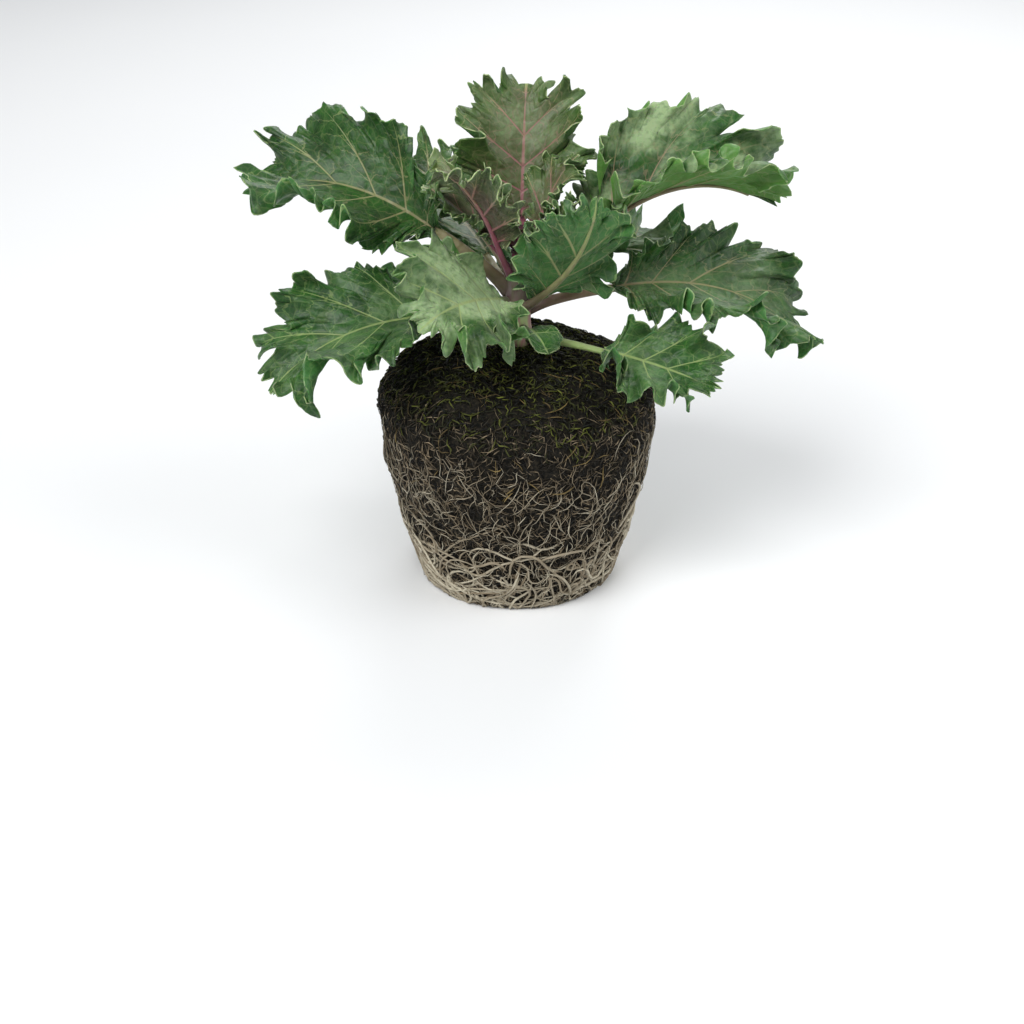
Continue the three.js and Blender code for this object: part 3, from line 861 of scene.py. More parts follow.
class Margin:
    """The margin of a blade and the patterns along it, on a grid. Columns run from the foot to the
    tip, evenly along the margin, as side veins fan from the midrib; rows run from the left margin
    over the midrib to the right margin."""

    def __init__(self, leaf, seed, finish):
        """Keeps how far along the margin each column lies and which vein it is, from 0 at the foot
        to 1 at the tip, and on which side and how far out each row lies."""
        self.leaf, self.seed, self.finish = leaf, seed, finish
        self.lobes = lobes_of(leaf)
        self.all_veins = np.linspace(0.0, 1.0, MARGIN_SAMPLES)
        _, out, along = margin_line(leaf, self.all_veins)
        steps = np.hypot(np.diff(out), np.diff(along))
        self.all_runs = np.concatenate(([0.0], np.cumsum(steps)))
        self.whole = self.all_runs[-1]
        columns = max(FEWEST_COLUMNS, int(self.whole / (COLUMN_PITCH * finish.tooth)))
        self.edge = np.linspace(0.0, self.whole, columns + 1)[:, None]
        self.vein = self.vein_at(self.edge)
        row = np.linspace(-1.0, 1.0, 2 * HALF_ROWS + 1)[None, :]
        self.side = np.where(row < 0, -1.0, 1.0)
        self.out = 1.0 - (1.0 - np.abs(row)) ** ROW_CROWDING
        self.own = seed + np.where(self.side > 0, SIDE_SEED, 0.0)
        self.small = min(1.0, self.whole / FULL_MARGIN)
        self.from_foot = np.minimum(1.0, 4.0 * self.vein)
        self.from_tip = self.whole - self.edge
        self.free = self.from_foot * ease(self.from_tip / STILL_TIP)
        self.from_vein = np.abs(self.lobes * self.vein - np.round(self.lobes * self.vein))

    def vein_at(self, edge):
        """The vein that meets the margin at a distance along it."""
        return np.interp(edge, self.all_runs, self.all_veins)

    def phase(self, draw):
        """The drawn start of a pattern, on each side its own."""
        return 2 * np.pi * scatter(draw, self.own + PHASE_SEED)

    def swell(self, pitch, draw):
        """A sine along the margin."""
        return np.sin(2 * np.pi * self.edge / pitch + self.phase(draw))

    def notches(self, pitch, draw):
        """The distance to the nearest notch, in pitches, and that notch's drawn size. Notches lie
        a pitch apart, pushed to and fro by a slow sine."""
        place = (self.edge / pitch + TOOTH_DRIFT * self.swell(DRIFT_PITCHES * pitch, draw)
                 + self.phase(draw + 1))
        notch = np.floor(place + 0.5)
        return np.abs(place - notch), scatter(notch, self.own + draw)

    def teeth(self, pitch, draw):
        """Cuts between pointed teeth: deepest and rounded at a notch, falling as a power of the
        distance from it to nothing at a tooth's point."""
        apart, size = self.notches(pitch, draw)
        return (SMALLEST_TOOTH + size) * (1.0 - (2.0 * apart) ** TOOTH_ROUNDING)

    def bites(self, pitch, draw):
        """Round bites at the larger notches: a parabola across each."""
        apart, size = self.notches(pitch, draw)
        return (np.maximum(0.0, 1.6 * size - 0.4)
                * np.maximum(0.0, 1.0 - (apart / BITE_HALF_WIDTH) ** 2))

    def bay(self, index, settings):
        """A rounded bay between two lobes: a bell with a flat top, of drawn depth and width,
        shallow near the foot and on a leaf with few ruffles."""
        place = (index + 0.5) / self.lobes
        depth = (settings.lobe_depth * self.leaf.half_width
                 * (0.25 + 1.05 * scatter(index, self.own)) * min(1.0, 4.0 * place))
        depth = depth * min(1.0, 2.5 * self.finish.ruffle)
        width = (2.4 + 1.6 * scatter(index, self.own + BAY_WIDTH_SEED)) * self.small
        away = np.abs(self.edge - np.interp(place, self.all_veins, self.all_runs))
        return depth * np.exp(-(away / width) ** BAY_POWER)

    def cut(self, settings):
        """How far the margin is cut in, in millimetres: by teeth or round bites, whichever is
        deeper, with fine saw teeth on them, by the bays, and by the notch in the tip, a bell."""
        fine = self.small * self.finish.tooth
        pitch = settings.tooth_pitch / MM * fine
        bites = BITE_DEPTH * self.bites(BITE_PITCHES * pitch, DRAW_BITE)
        total = (np.maximum(self.teeth(pitch, DRAW_TOOTH), bites)
                 + SAW_DEPTH * self.teeth(SAW_PITCHES * pitch, DRAW_SAW))
        total = (total * settings.tooth_depth / MM * fine * self.from_foot
                 * ease(self.from_tip / SMOOTH_TIP))
        for index in range(self.lobes):
            total = total + self.bay(index, settings)
        notch = np.exp(-(self.from_tip / TIP_NOTCH_WIDTH) ** 2)
        return total + self.finish.notch * self.leaf.half_width * notch

    def cut_square(self, cut):
        """A cut taken square to the margin: the share of each vein that it leaves, which is less
        where the vein meets the margin aslant, how far it slides along the margin, and the veins'
        lengths."""
        root_y, margin_x, margin_y = margin_line(self.leaf, self.vein)
        rise = margin_y - root_y
        span = np.hypot(margin_x, rise)
        along_x, along_y = (np.gradient(values[:, 0])[:, None] for values in (margin_x, margin_y))
        area = span * np.hypot(along_x, along_y)
        square = np.clip((margin_x * along_y - rise * along_x) / area, FLATTEST_CUT, 1.0)
        lean = (margin_x * along_x + rise * along_y) / area
        kept = 1.0 - np.minimum(DEEPEST_CUT, cut / (square * span))
        return kept, cut * lean / square * ease(self.from_tip / SLIDE_TIP), span

    def ruffles(self):
        """The turn of the ruffles along the margin, which drifts, and their height as a share of
        the pitch, which swells and sinks."""
        drift = 0.9 * self.swell(RUFFLE_DRIFT_PITCH * self.small, DRAW_RUFFLE_DRIFT)
        turn = 2 * np.pi * self.edge / self.finish.pitch + self.phase(DRAW_RUFFLE) + drift
        swells = 0.75 + 0.5 * self.swell(RUFFLE_HEIGHT_PITCH * self.small, DRAW_RUFFLE_HEIGHT)
        return turn, self.finish.ruffle * self.free * np.clip(swells, 0.15, 1.1)

    def rolled(self, kept, span, settings):
        """The outer part of each vein bent to an arc of a circle, more or less along the margin:
        how far out each point reaches, as a share of the vein, and how far it lifts."""
        share = np.maximum(0.0, (self.out - ROLLED_FROM) / (1.0 - ROLLED_FROM))
        arc = (1.0 - ROLLED_FROM) * span * kept
        swells = (0.62 * self.swell(ROLL_PITCH * self.small, DRAW_ROLL)
                  + 0.55 * self.swell(SLOW_ROLL_PITCH * self.small, DRAW_SLOW_ROLL))
        bend = settings.curl * self.free * swells + 1e-4
        flat = np.minimum(self.out, ROLLED_FROM) * kept * span
        reach = (flat + arc * np.sin(bend * share) / bend) / span
        return reach, arc * (1.0 - np.cos(bend * share)) / bend

    def wave(self):
        """The large waves: two sines that turn with the lobes, brought to the same height on both
        sides at the tip."""
        turns = np.pi * self.lobes * self.vein
        wave = (0.62 * np.sin(turns + self.phase(DRAW_WAVE))
                + 0.5 * np.sin(SECOND_WAVE_TURNS * turns + self.phase(DRAW_SECOND_WAVE)))
        tip = 0.4 * np.sin(2 * np.pi * scatter(DRAW_TIP, self.seed))
        return wave + (tip - wave) * ease((self.vein - 0.8) / 0.2)

    def branches(self):
        """Turns of the small veins that branch from the side veins and lean outward."""
        return (BRANCHES_OUT * self.out - BRANCH_LEAN * self.from_vein
                + scatter(DRAW_BRANCH, self.own + PHASE_SEED))

    def puckers(self, branches, settings):
        """The height of the blade between its side veins, with a herringbone of sines on the small
        ones, level at the midrib and the margin."""
        between = 1.0 - np.exp(-(self.from_vein / PUCKER_WIDTH) ** 2)
        herring = 0.4 * np.sin(2 * np.pi * branches)
        return (settings.pucker / MM * between * (0.75 + herring) * self.out ** 0.5
                * (1.0 - self.out ** 5))


def blade_grid(leaf, seed, finish, settings):
    """The middle surface of a blade. The outline is an egg shape cut square to its edge by teeth,
    round bites and bays, its outer part is rolled, and the whole is folded at the midrib, cupped,
    puckered between the veins and thrown into waves and ruffles that grow outward; a ruffle rises
    as a sine and sways along the margin as a sine of twice its turn, which makes round loops.
    Returns the surface, and the vein, the way out, the distance from the nearest side vein and the
    turn of the small veins at its points."""
    margin = Margin(leaf, seed, finish)
    vein, out = margin.vein, margin.out
    kept, slide, span = margin.cut_square(margin.cut(settings))

    turn, tall = margin.ruffles()
    loop = RUFFLE_SWAY * tall ** 2 * finish.pitch / (2 * np.pi) * np.sin(2.0 * turn)
    near_edge = out * np.exp((out - 1.0) * span / (RUFFLE_REACH * finish.pitch))
    moved = margin.edge + (loop * near_edge ** 2 + slide * out ** 3)
    root_y, margin_x, margin_y = margin_line(leaf, margin.vein_at(moved))
    span = np.hypot(margin_x, margin_y - root_y)
    reach, roll_lift = margin.rolled(kept, span, settings)

    x = reach * margin_x
    bow = 0.1 * leaf.blade * out * (1.0 - out) * (1.0 - vein)
    y = np.clip(root_y + reach * (margin_y - root_y) + bow, 0.0, leaf.blade)

    lift = settings.frill * leaf.half_width * out ** 2.2 * margin.from_foot * margin.wave()
    fine_turn = FINE_RUFFLE_TURNS * turn + margin.phase(DRAW_FINE_RUFFLE)
    fine = FINE_RUFFLE * near_edge ** 2.5 * np.sin(fine_turn)
    lift = lift + tall * finish.pitch * (near_edge * np.sin(turn) + fine)
    branches = margin.branches()
    puckers = margin.puckers(branches, settings)
    lift = lift + roll_lift + puckers * min(1.0, leaf.half_width / FULL_PUCKER_LEAF)

    fold = math.radians(leaf.fold)
    cup = CUP / leaf.half_width
    tilt = fold + cup * x
    flat = (np.sin(tilt) - math.sin(fold)) / cup - lift * np.sin(tilt)
    raised = (math.cos(fold) - np.cos(tilt)) / cup + lift * np.cos(tilt)
    stations, point, _, right, up = midrib(leaf)
    place = leaf.petiole + y
    surface = (at_station(stations, point, place)
               + at_station(stations, right, place) * (margin.side * flat)[..., None]
               + at_station(stations, up, place) * raised[..., None])
    return surface, vein, out, margin.from_vein, branches


def blade_gaps(leaf, surface, vein, out, from_vein):
    """Distances over a blade in millimetres, from each point to the nearest side vein, which forks
    in its outer part, to the midrib and to the margin."""
    columns, rows = surface.shape[:2]
    middle = rows // 2
    pace = (np.linalg.norm(np.gradient(surface, axis=0), axis=-1)
            / np.maximum(np.gradient(vein, axis=0), 1e-6))
    fork = 0.29 * np.clip((out - 0.38) / 0.62, 0.0, 1.0) ** 1.2
    to_vein = np.minimum(from_vein, 1.5 * np.abs(from_vein - fork)) / lobes_of(leaf) * pace
    steps = np.linalg.norm(np.diff(surface, axis=1), axis=-1)
    run = np.concatenate((np.zeros((columns, 1)), np.cumsum(steps, axis=1)), axis=1)
    to_midrib = np.abs(run - run[:, middle:middle + 1])
    to_margin = np.where(np.arange(rows) < middle, run, run[:, -1:] - run)
    return to_vein, to_midrib, to_margin


def blade_shell(leaf, seed, finish, settings):
    """A blade as a closed shell: its middle surface offset to both faces along its normals,
    thinner at the margin and thicker below on the veins, joined round the margin. Also gives, at
    each point, the distances to the nearest side vein, midrib and margin and which face it is on,
    the tints, and the turn of the small veins."""
    surface, *values = blade_grid(leaf, seed, finish, settings)
    values += blade_gaps(leaf, surface, *values[:3])
    columns, rows = surface.shape[:2]
    middle = rows // 2
    ids = np.arange(columns * rows).reshape(columns, rows)
    ids[-1, :middle] = ids[-1, :middle:-1]
    used, packed = np.unique(ids, return_inverse=True)
    ids = packed.reshape(ids.shape)
    vein, out, from_vein, branches, to_vein, to_midrib, to_margin = (
        np.broadcast_to(part, (columns, rows)).reshape(-1)[used] for part in values)

    points = surface.reshape(-1, 3)[used]
    total = len(points)
    zero = np.zeros(total)
    top = grid_quads(ids)
    normal = vertex_normals(points, top)
    inward = np.minimum(1.0, to_margin / THIN_MARGIN)
    half = 0.5 * settings.thickness / MM * (0.55 + 0.45 * inward)
    ridge = settings.vein / MM * np.exp(-(to_vein / RIDGE_HALF_WIDTH) ** 2) * (1.0 - out) ** 0.6
    ridge = ridge * min(1.0, leaf.half_width / FULL_RIDGE_LEAF)
    shell = np.vstack((points + normal * half[:, None], points - normal * (half + ridge)[:, None]))
    loop = np.concatenate((ids[:, -1], ids[-2::-1, 0], ids[0, 1:-1]))
    ahead = np.roll(loop, -1)
    rim = np.stack((ahead, loop, loop + total, ahead + total), -1)

    purple = finish.purple * np.clip(1.15 - 0.55 * out, 0.0, 1.0)
    pink = finish.pink * np.clip(1.2 - 1.0 * out ** 1.5, 0.0, 1.0) * (0.68 + 0.32 * (1.0 - vein))
    bloom = finish.bloom * (1.15 - 0.55 * out ** 2)
    tints = np.stack((purple, pink, bloom, out), -1)
    upper = np.stack((to_vein / VEIN_UNIT, to_midrib / GAP_UNIT, to_margin / GAP_UNIT, zero), -1)
    lower = upper.copy()
    lower[:, 3] = 1.0
    net = np.stack((branches + 2.25, 2.0 * from_vein, zero, zero), -1)
    faces = [top, top[:, ::-1] + total, rim]
    return (shell, faces, np.vstack((upper, lower)), np.vstack((tints, tints)),
            np.vstack((net, net)))


def petiole_tube(leaf, finish, start):
    """The petiole and the midrib under the blade: a ring with a flattened, grooved top carried
    along the midrib, flared at the stem and drawn thin toward the tip, with a foot that turns dark
    purple near the stem, partly its own purple and partly painted shade."""
    stations, point, _, right, up = midrib(leaf)
    last = leaf.petiole + RIB_REACH * leaf.blade
    place = start + (last - start) * np.linspace(0.0, 1.0, RIB_STATIONS)
    share = place / last
    thick = max(THINNEST_PETIOLE, PETIOLE_SHARE * leaf.half_width)
    flare = 1.0 + 0.45 * np.exp(-(place / FLARE_REACH) ** 2)
    radius = thick * (1.0 - 0.78 * share ** 0.8) * flare
    turn = 2 * np.pi * np.arange(RIB_SIDES) / RIB_SIDES
    groove = 1.0 - 0.3 * np.maximum(0.0, np.sin(turn)) ** 3
    wide = np.cos(turn)
    high = 0.85 * (np.sin(turn) * groove - 0.62)
    ring = (at_station(stations, right, place)[:, None, :] * wide[:, None]
            + at_station(stations, up, place)[:, None, :] * high[:, None]) * radius[:, None, None]
    points = (at_station(stations, point, place)[:, None, :] + ring).reshape(-1, 3)
    total = len(points)
    ids = np.arange(total).reshape(RIB_STATIONS, RIB_SIDES)
    faces = [ring_quads(ids), ids[:1, ::-1], ids[-1:]]

    zero, half, one = (np.full(total, value) for value in (0.0, 0.5, 1.0))
    toward_foot = np.repeat(1.0 - share, RIB_SIDES)
    pink = np.minimum(1.0, finish.pink * (0.55 + 0.75 * toward_foot))
    # Painted shade: how dark purple the petiole is near the stem, partly its own purple and partly
    # painted shade where the leaves crowd.
    purple_and_shade_at_stem = np.repeat(0.85 * np.exp(-(place / PURPLE_AND_SHADE_REACH) ** 2), RIB_SIDES)
    lines = np.stack((zero, zero, one, zero), -1)
    tints = np.stack((finish.purple * one, pink, 0.3 * finish.bloom * one, zero), -1)
    return points, faces, lines, tints, np.stack((half, half, purple_and_shade_at_stem, half), -1)


def join_shells(shells):
    """Several shells put together as one list of points, faces and attributes."""
    points, parts, *values = zip(*shells)
    starts = np.cumsum([0] + [len(shell) for shell in points])
    faces = [part + start for own, start in zip(parts, starts) for part in own]
    names = ("leaf_lines", "leaf_tints", "leaf_net")
    return np.vstack(points), faces, {key: np.vstack(value) for key, value in zip(names, values)}


def leaf_shells(leaf, seed, finish, start, settings):
    """A leaf's blade shell and petiole tube, standing in their place on the stem."""
    shells = (blade_shell(leaf, seed, finish, settings), petiole_tube(leaf, finish, start))
    return [(stand_on_stem(points, leaf), *rest) for points, *rest in shells]


# Soil and roots.

def ball_profile():
    """Radius and height from the middle of the underside, out and up the side, and in over the
    mound, with the share of the way at each point and the whole way."""
    under = np.stack((np.linspace(0.0, UNDER_RADIUS, UNDER_RINGS),
                      np.full(UNDER_RINGS, UNDER_HEIGHT)), -1)
    side = smooth_curve(BALL_SIDE, np.linspace(0.0, 1.0, SIDE_RINGS))
    share = np.linspace(1.0, 0.0, MOUND_RINGS + 1)[1:]
    mound = np.stack((share * MOUND_RADIUS,
                      MOUND_FOOT + MOUND_HEIGHT * (1.0 - share ** 2) ** MOUND_POWER), -1)
    profile = np.vstack((under, side, mound))
    steps = np.linalg.norm(np.diff(profile, axis=0), axis=1)
    run = np.concatenate(([0.0], np.cumsum(steps)))
    return profile, run / run[-1], run[-1]


def ball_lump(angle, height):
    """The low lumps of the ball: a third each of three waves round it that lean with height."""
    return BALL_LUMP / 3.0 * (np.sin(3 * angle + 0.3 * height + 2.0)
                              + np.sin(5 * angle + 0.09 * height)
                              + np.sin(9 * angle - 0.21 * height + 1.0))


def ball_place(angle, share, lift=0.0):
    """Points on the lumpy ball at an angle and a share of its profile, lifted along the outward
    normal; and the normal."""
    profile, run, _ = ball_profile()
    radius, height = (np.interp(share, run, profile[:, axis]) for axis in range(2))
    slope = np.gradient(profile, run, axis=0)
    across, upward = (np.interp(share, run, slope[:, axis]) for axis in range(2))
    size = np.maximum(np.hypot(across, upward), 1e-9)
    normal = np.stack((upward / size * np.cos(angle), upward / size * np.sin(angle),
                       -across / size), -1)
    base = np.stack((radius * np.cos(angle), radius * np.sin(angle), height), -1)
    lump = ball_lump(angle, height) * ease(height / 8.0) * ease(radius / 12.0)
    return base + normal * (lump + lift)[..., None], normal


def level_heading(draw, number):
    """Headings near level, either way."""
    return draw.normal(0.0, 0.55, number) + np.pi * draw.integers(0, 2, number)


def any_heading(draw, number):
    """Headings all round."""
    return draw.uniform(0.0, 2 * np.pi, number)


def net_heading(draw, number):
    """Headings down the side, many of them slanting either way."""
    return -np.pi / 2 + draw.normal(0.0, 0.95, number)


def falling_heading(draw, number):
    """Headings mostly down the side."""
    return -np.pi / 2 + draw.normal(0.0, 0.65, number)


# Strands on the ball: the shares of the profile between which they start, their lengths in
# millimetres, heading and radius, the points on each, how far they wander, how high they lie and
# how far they arch. The radius is in millimetres, or for thick roots a share of their thickness.
Strand = namedtuple("Strand", "shares lengths heading radius points wander lift arch")
PEAT = Strand((0.2, 0.71), (2.5, 8.0), any_heading, 0.2, 3, 0.6, 0.35, 0.7)
STRAW = Strand((0.55, 0.97), (4.0, 11.0), any_heading, 0.24, 5, 0.5, 0.7, 0.9)
MOSS = Strand((0.67, 0.985), (2.5, 7.5), any_heading, 0.28, 4, 1.2, 0.5, 1.3)
RUNNER = Strand((0.2, 0.4), (12.0, 38.0), net_heading, 1.0, 11, 1.2, 0.7, 0.5)
CIRCLING = Strand((0.19, 0.26), (24.0, 70.0), level_heading, 1.1, 11, 0.35, 0.9, 0.4)
HAIR = Strand((0.21, 0.64), (5.0, 20.0), falling_heading, 0.17, 6, 1.3, 0.8, 0.8)
THIN_SIDES = 3
ROOT_SIDES = 4
LITTER_SEED = 11
ROOT_SEED = 23


def laid_strands(draw, number, strand, thickness=1.0):
    """Paths of many strands that lie on the ball: each is laid at a drawn angle and share of the
    profile, keeps a drawn heading from level, turns a little as it goes, and rises from the soil
    along an arch. Returns the paths, outward normals and radii."""
    each = (number, 1)
    angle = draw.uniform(0.0, 2 * np.pi, each)
    share = draw.uniform(*strand.shares, each)
    span = draw.uniform(*strand.lengths, each)
    head = strand.heading(draw, number)[:, None]
    step = np.linspace(-0.5, 0.5, strand.points)[None, :]
    bend = strand.wander * draw.normal(0.0, 1.0, each) * step
    sway = strand.wander * draw.normal(0.0, 0.6, each) * np.sin(
        2 * np.pi * step + draw.uniform(0.0, 6.28, each))
    turning = head + bend + sway
    pace = span / (strand.points - 1)
    profile, run, whole = ball_profile()
    shares_at = share + np.cumsum(np.sin(turning), axis=1) * pace / whole
    shares_at = np.clip(shares_at, 0.004, 0.996)
    ring = np.maximum(4.0, np.interp(share, run, profile[:, 0]))
    angles_at = angle + np.cumsum(np.cos(turning), axis=1) * pace / ring
    bow = strand.arch * draw.uniform(0.2, 1.0, each) * (1.0 - 4.0 * step ** 2)
    rest = strand.lift * draw.uniform(0.2, 1.4, each) + bow
    paths, normals = ball_place(angles_at, shares_at, rest)
    taper = 1.0 - 0.75 * np.abs(2.0 * step) ** 3
    radii = strand.radius * thickness * draw.uniform(0.65, 1.25, each) * taper
    paths[..., 2] = np.maximum(paths[..., 2], radii)
    return paths, normals, radii


def strand_piece(name, strands, sides, material, draw):
    """One piece from many strands, with a tone of its own on each."""
    paths, normals, radii = strands
    points, faces = tubes(paths, normals, radii, sides)
    number, stations = radii.shape
    tone = np.repeat(draw.uniform(0.0, 1.0, number), stations * sides)
    tones = np.stack((tone, tone, tone, np.ones_like(tone)), -1)
    return put_mesh(name, points, faces, material, {"strand_tone": tones})


# Operators.

class KALE_OT_soil(bpy.types.Operator):
    """Builds the ball of soil with its crumbs"""
    bl_idname = "kale.soil"
    bl_label = "Soil ball"

    def execute(self, context):
        """The ball is its profile turned round the upright axis, pushed out along the normal by
        its lumps and by crumbs of noise in three sizes, less pits of a fourth; both poles are
        closed by a fan."""
        settings = context.scene.kale_soil
        profile, run, _ = ball_profile()
        angle = np.linspace(0.0, 2 * np.pi, BALL_COLUMNS, endpoint=False)[None, :]
        smooth, normal = ball_place(*np.broadcast_arrays(angle, run[1:-1, None]))
        rough = sum(height * lump_noise(smooth, size, seed)
                    for seed, (size, height) in enumerate(CRUMBS, 1))
        pit_size, pit_depth = PIT
        rough = rough - pit_depth * np.abs(lump_noise(smooth, pit_size, len(CRUMBS) + 1))
        still = ease((smooth[..., 2] - 0.5) / 5.0)
        points = smooth + normal * (settings.crumb / MM * rough * still)[..., None]
        ids = np.arange(points[..., 0].size).reshape(points.shape[:2])
        poles = np.array(((0.0, 0.0, profile[0, 1]), (0.0, 0.0, profile[-1, 1])))
        low = np.stack((np.roll(ids[0], -1), ids[0], np.full(BALL_COLUMNS, ids.size)), -1)
        high = np.stack((ids[-1], np.roll(ids[-1], -1), np.full(BALL_COLUMNS, ids.size + 1)), -1)
        form = np.append(np.clip(0.5 + 0.4 * rough, 0.0, 1.0), (0.5, 0.5))
        piece = put_mesh("soil_ball", np.vstack((points.reshape(-1, 3), poles)),
                         [ring_quads(ids), low, high], soil_material(settings),
                         {"soil_form": np.repeat(form, 4)})
        settle(piece, "soil", "root_ball")
        return {"FINISHED"}


class KALE_OT_litter(bpy.types.Operator):
    """Lays peat fibres, straw and moss on the soil"""
    bl_idname = "kale.litter"
    bl_label = "Fibres, straw and moss"

    def execute(self, context):
        """Each strand is a thin three-sided tube along a path on the ball."""
        settings = context.scene.kale_soil
        draw = np.random.default_rng(LITTER_SEED)
        peat = strand_material("peat_fibre", settings.fibre, settings.dark, 400.0, 2.7)
        straw = strand_material("straw", settings.straw_colour, settings.brown, 300.0, 1.2)
        moss = strand_material("moss", settings.moss_colour, settings.dark, 500.0, 3.2)
        for name, number, strand, skin in (("peat_fibres", settings.peat, PEAT, peat),
                                           ("straw_bits", settings.straw, STRAW, straw),
                                           ("moss_shoots", settings.moss, MOSS, moss)):
            strands = laid_strands(draw, number, strand)
            settle(strand_piece(name, strands, THIN_SIDES, skin, draw), "soil")
        return {"FINISHED"}


class KALE_OT_roots(bpy.types.Operator):
    """Lays the net of roots on the ball"""
    bl_idname = "kale.roots"
    bl_label = "Roots"

    def execute(self, context):
        """Thick roots run down and round the lower ball and circle its foot; fine white ones lie
        higher up."""
        settings = context.scene.kale_roots
        draw = np.random.default_rng(ROOT_SEED)
        thick = settings.thickness / MM
        down = laid_strands(draw, settings.runners, RUNNER, thick)
        round_foot = laid_strands(draw, settings.circling, CIRCLING, thick)
        strands = [np.vstack(pair) for pair in zip(down, round_foot)]
        cream = strand_material("root_skin", settings.cream, settings.stain, 260.0)
        settle(strand_piece("root_strands", strands, ROOT_SIDES, cream, draw), "root", "root_net")
        strands = laid_strands(draw, settings.hairs, HAIR)
        fine = strand_material("fine_root_skin", settings.cream, settings.stain, 320.0)
        settle(strand_piece("fine_roots", strands, THIN_SIDES, fine, draw), "root")
        return {"FINISHED"}


class KALE_OT_stem(bpy.types.Operator):
    """Builds the short stem"""
    bl_idname = "kale.stem"
    bl_label = "Stem"

    def execute(self, context):
        """The stem is its profile turned round the upright axis, with shallow ridges that wind up
        it."""
        settings = context.scene.kale_leaves
        profile = smooth_curve(STEM_SIDE, np.linspace(0.0, 1.0, STEM_RINGS))
        angle = np.linspace(0.0, 2 * np.pi, STEM_COLUMNS, endpoint=False)[None, :]
        radius, height = profile[:, :1], profile[:, 1:]
        ridge = 0.16 * np.sin(5 * angle + 0.21 * height) + 0.12 * np.sin(0.9 * height + 2 * angle)
        wide = radius + ridge * ease((radius - 2.0) / 1.5)
        points = np.stack((wide * np.cos(angle), wide * np.sin(angle),
                           np.broadcast_to(height, wide.shape)), -1).reshape(-1, 3)
        ids = np.arange(len(points)).reshape(STEM_RINGS, STEM_COLUMNS)
        piece = put_mesh("stem_skin", points, [ring_quads(ids), ids[:1, ::-1], ids[-1:]],
                         stem_material(settings))
        settle(piece, "stem", "stem")
        return {"FINISHED"}


class KALE_OT_leaves(bpy.types.Operator):
    """Builds every leaf with its petiole"""
    bl_idname = "kale.leaves"
    bl_label = "Leaves"

    def execute(self, context):
        """Each leaf is a blade shell and a petiole tube in one piece."""
        settings = context.scene.kale_leaves
        green = leaf_material("kale_leaf", settings, False)
        young = leaf_material("kale_young_leaf", settings, True)
        for index, (name, leaf) in enumerate(LEAVES.items()):
            shells = leaf_shells(leaf, 1.1 * (index + 1), finish_of(name), PETIOLE_START, settings)
            points, faces, attributes = join_shells(shells)
            inner = name in PURPLE_NODES
            piece = put_mesh(name + "_skin", points, faces, young if inner else green, attributes)
            settle(piece, "purple_leaf" if inner else "green_leaf", name)
        return {"FINISHED"}


class KALE_OT_heart(bpy.types.Operator):
    """Builds the tight heart of youngest leaves"""
    bl_idname = "kale.heart"
    bl_label = "Heart"

    def execute(self, context):
        """Small blades stand round the stem's tip, each turned from the last by the golden angle,
        steeper and smaller."""
        settings = context.scene.kale_leaves
        petiole, blade, half_width = HEART_SIZES
        shells = []
        for index in range(HEART_LEAVES):
            shrink = 1.0 - HEART_SHRINK * index
            leaf = growth(GOLDEN_ANGLE * index, STEM_TOP + HEART_LIFT,
                          (petiole, blade * shrink, half_width * shrink),
                          (64 + 2.5 * index, 77 + index, 58 + 3 * index))
            shells += leaf_shells(leaf, 30.0 + index, HEART, HEART_PETIOLE_START, settings)
        points, faces, attributes = join_shells(shells)
        piece = put_mesh("heart_leaves", points, faces, heart_material(settings), attributes)
        settle(piece, "heart", "heart")
        return {"FINISHED"}


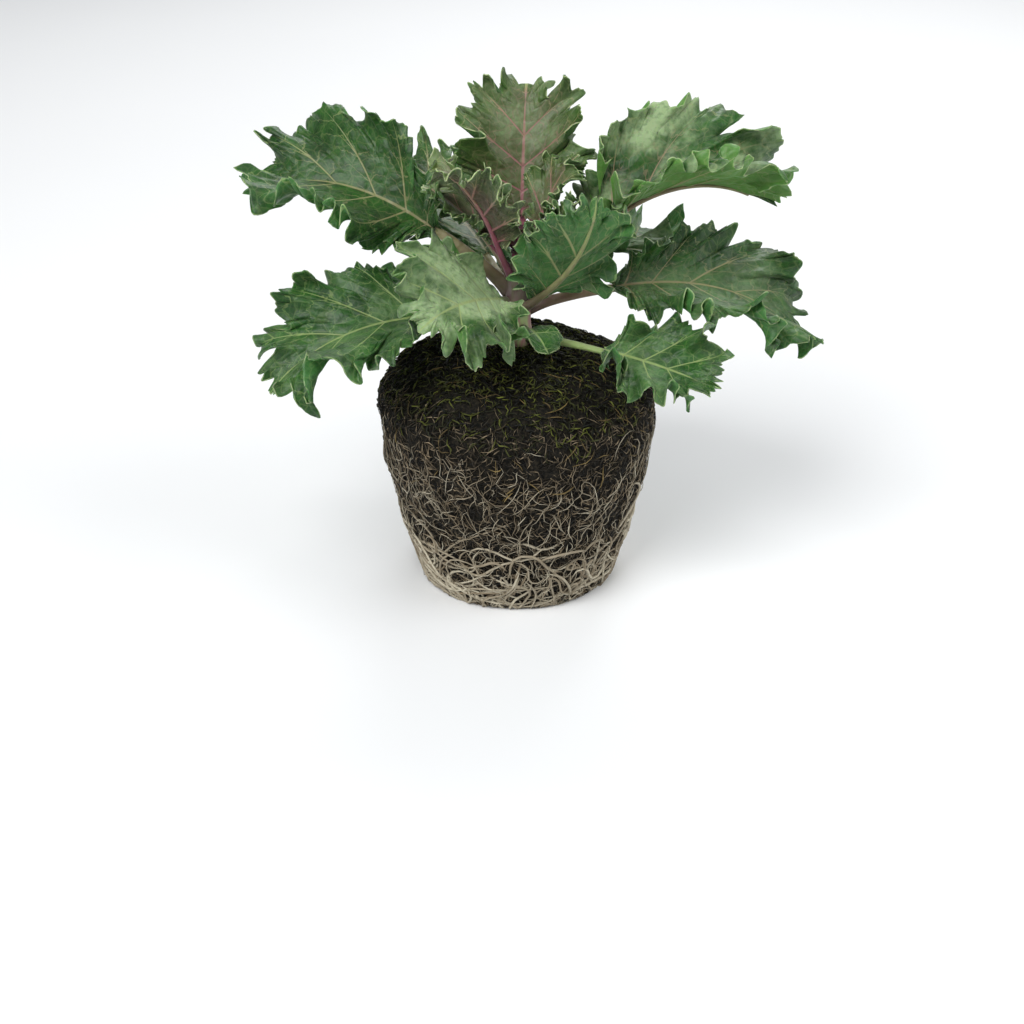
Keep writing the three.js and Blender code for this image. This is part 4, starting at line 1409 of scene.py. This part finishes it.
class KALE_OT_stage(bpy.types.Operator):
    """Lays the floor and sets the light and the camera"""
    bl_idname = "kale.stage"
    bl_label = "Stage"

    def execute(self, context):
        """Lays the floor, then sets the lights round the plant and the camera."""
        settings = context.scene.kale_stage
        self.lay_floor(settings)
        self.set_light(context.scene, settings)
        self.set_camera(context.scene, settings)
        context.scene.view_settings.view_transform = "Standard"
        return {"FINISHED"}

    def lay_floor(self, settings):
        """A flat grid round the origin."""
        corner = np.linspace(-FLOOR_REACH, FLOOR_REACH, 9)
        x, y = np.meshgrid(corner, corner, indexing="ij")
        points = np.stack((x, y, np.zeros_like(x)), -1).reshape(-1, 3)
        ids = np.arange(len(points)).reshape(x.shape)
        floor = put_mesh("floor", points, [grid_quads(ids)[:, ::-1]], floor_material(settings))

    def set_light(self, scene, settings):
        """An even sky and large lights that face the plant."""
        world = bpy.data.worlds.new("even_light")
        world.use_nodes = True
        sky = world.node_tree.nodes["Background"]
        sky.inputs["Color"].default_value = (0.95, 0.98, 1.0, 1.0)
        sky.inputs["Strength"].default_value = settings.world
        scene.world = world
        for name, power, size, place in LIGHTS:
            lamp = bpy.data.lights.new(name, "AREA")
            lamp.energy = settings.key * power
            lamp.size = size
            light = bpy.data.objects.new(name, lamp)
            light.location = place
            facing = Vector(LIGHT_AIM) - Vector(place)
            light.rotation_euler = facing.to_track_quat("-Z", "Y").to_euler()
            scene.collection.objects.link(light)

    def set_camera(self, scene, settings):
        """The camera stands off from the ball's rim and looks past it, so that the rim comes where
        the image has it."""
        rise = settings.elevation
        rim = Vector((0.0, 0.0, RIM_HEIGHT * MM))
        eye = rim + settings.distance * Vector((0.0, -math.cos(rise), math.sin(rise)))
        pitch = -rise - math.atan2(RIM_ABOVE, FOCAL)
        yaw = math.atan2(RIM_RIGHT, FOCAL)
        aim = Vector((-math.sin(yaw) * math.cos(pitch), math.cos(yaw) * math.cos(pitch),
                      math.sin(pitch)))
        lens = bpy.data.cameras.new("photo_view")
        lens.sensor_fit = "HORIZONTAL"
        lens.angle = 2.0 * math.atan2(HALF_IMAGE, FOCAL)
        lens.clip_start = 0.01
        camera = bpy.data.objects.new("photo_view", lens)
        camera.location = eye
        camera.rotation_euler = aim.to_track_quat("-Z", "Y").to_euler()
        scene.collection.objects.link(camera)
        scene.camera = camera


OPERATORS = (KALE_OT_stage, KALE_OT_soil, KALE_OT_litter, KALE_OT_roots, KALE_OT_stem,
             KALE_OT_leaves, KALE_OT_heart)
SETTINGS = {"kale_leaves": KaleLeafSettings, "kale_soil": KaleSoilSettings,
            "kale_roots": KaleRootSettings, "kale_stage": KaleStageSettings}


class KALE_PT_plant(bpy.types.Panel):
    """Lists the plant's pieces and settings"""
    bl_idname = "KALE_PT_plant"
    bl_label = "Young kale plant"
    bl_space_type = "VIEW_3D"
    bl_region_type = "UI"
    bl_category = "Kale"

    def draw(self, context):
        """One button for each operator, then the settings."""
        for operator in OPERATORS:
            self.layout.operator(operator.bl_idname)
        for key in SETTINGS:
            box = self.layout.box()
            group = getattr(context.scene, key)
            for name in group.bl_rna.properties.keys():
                if name not in ("rna_type", "name"):
                    box.prop(group, name)


CLASSES = (*SETTINGS.values(), *OPERATORS, KALE_PT_plant)


def register():
    """Registers the classes and hangs the settings on the scene."""
    for part in CLASSES:
        bpy.utils.register_class(part)
    for key, group in SETTINGS.items():
        setattr(bpy.types.Scene, key, PointerProperty(type=group))


def unregister():
    """Takes the settings and classes away again."""
    for key in SETTINGS:
        delattr(bpy.types.Scene, key)
    for part in reversed(CLASSES):
        bpy.utils.unregister_class(part)


def main():
    """Builds the plant on its stage."""
    register()
    bpy.ops.kale.stage()
    bpy.ops.kale.soil()
    bpy.ops.kale.litter()
    bpy.ops.kale.roots()
    bpy.ops.kale.stem()
    bpy.ops.kale.leaves()
    bpy.ops.kale.heart()


if __name__ == "__main__":
    main()
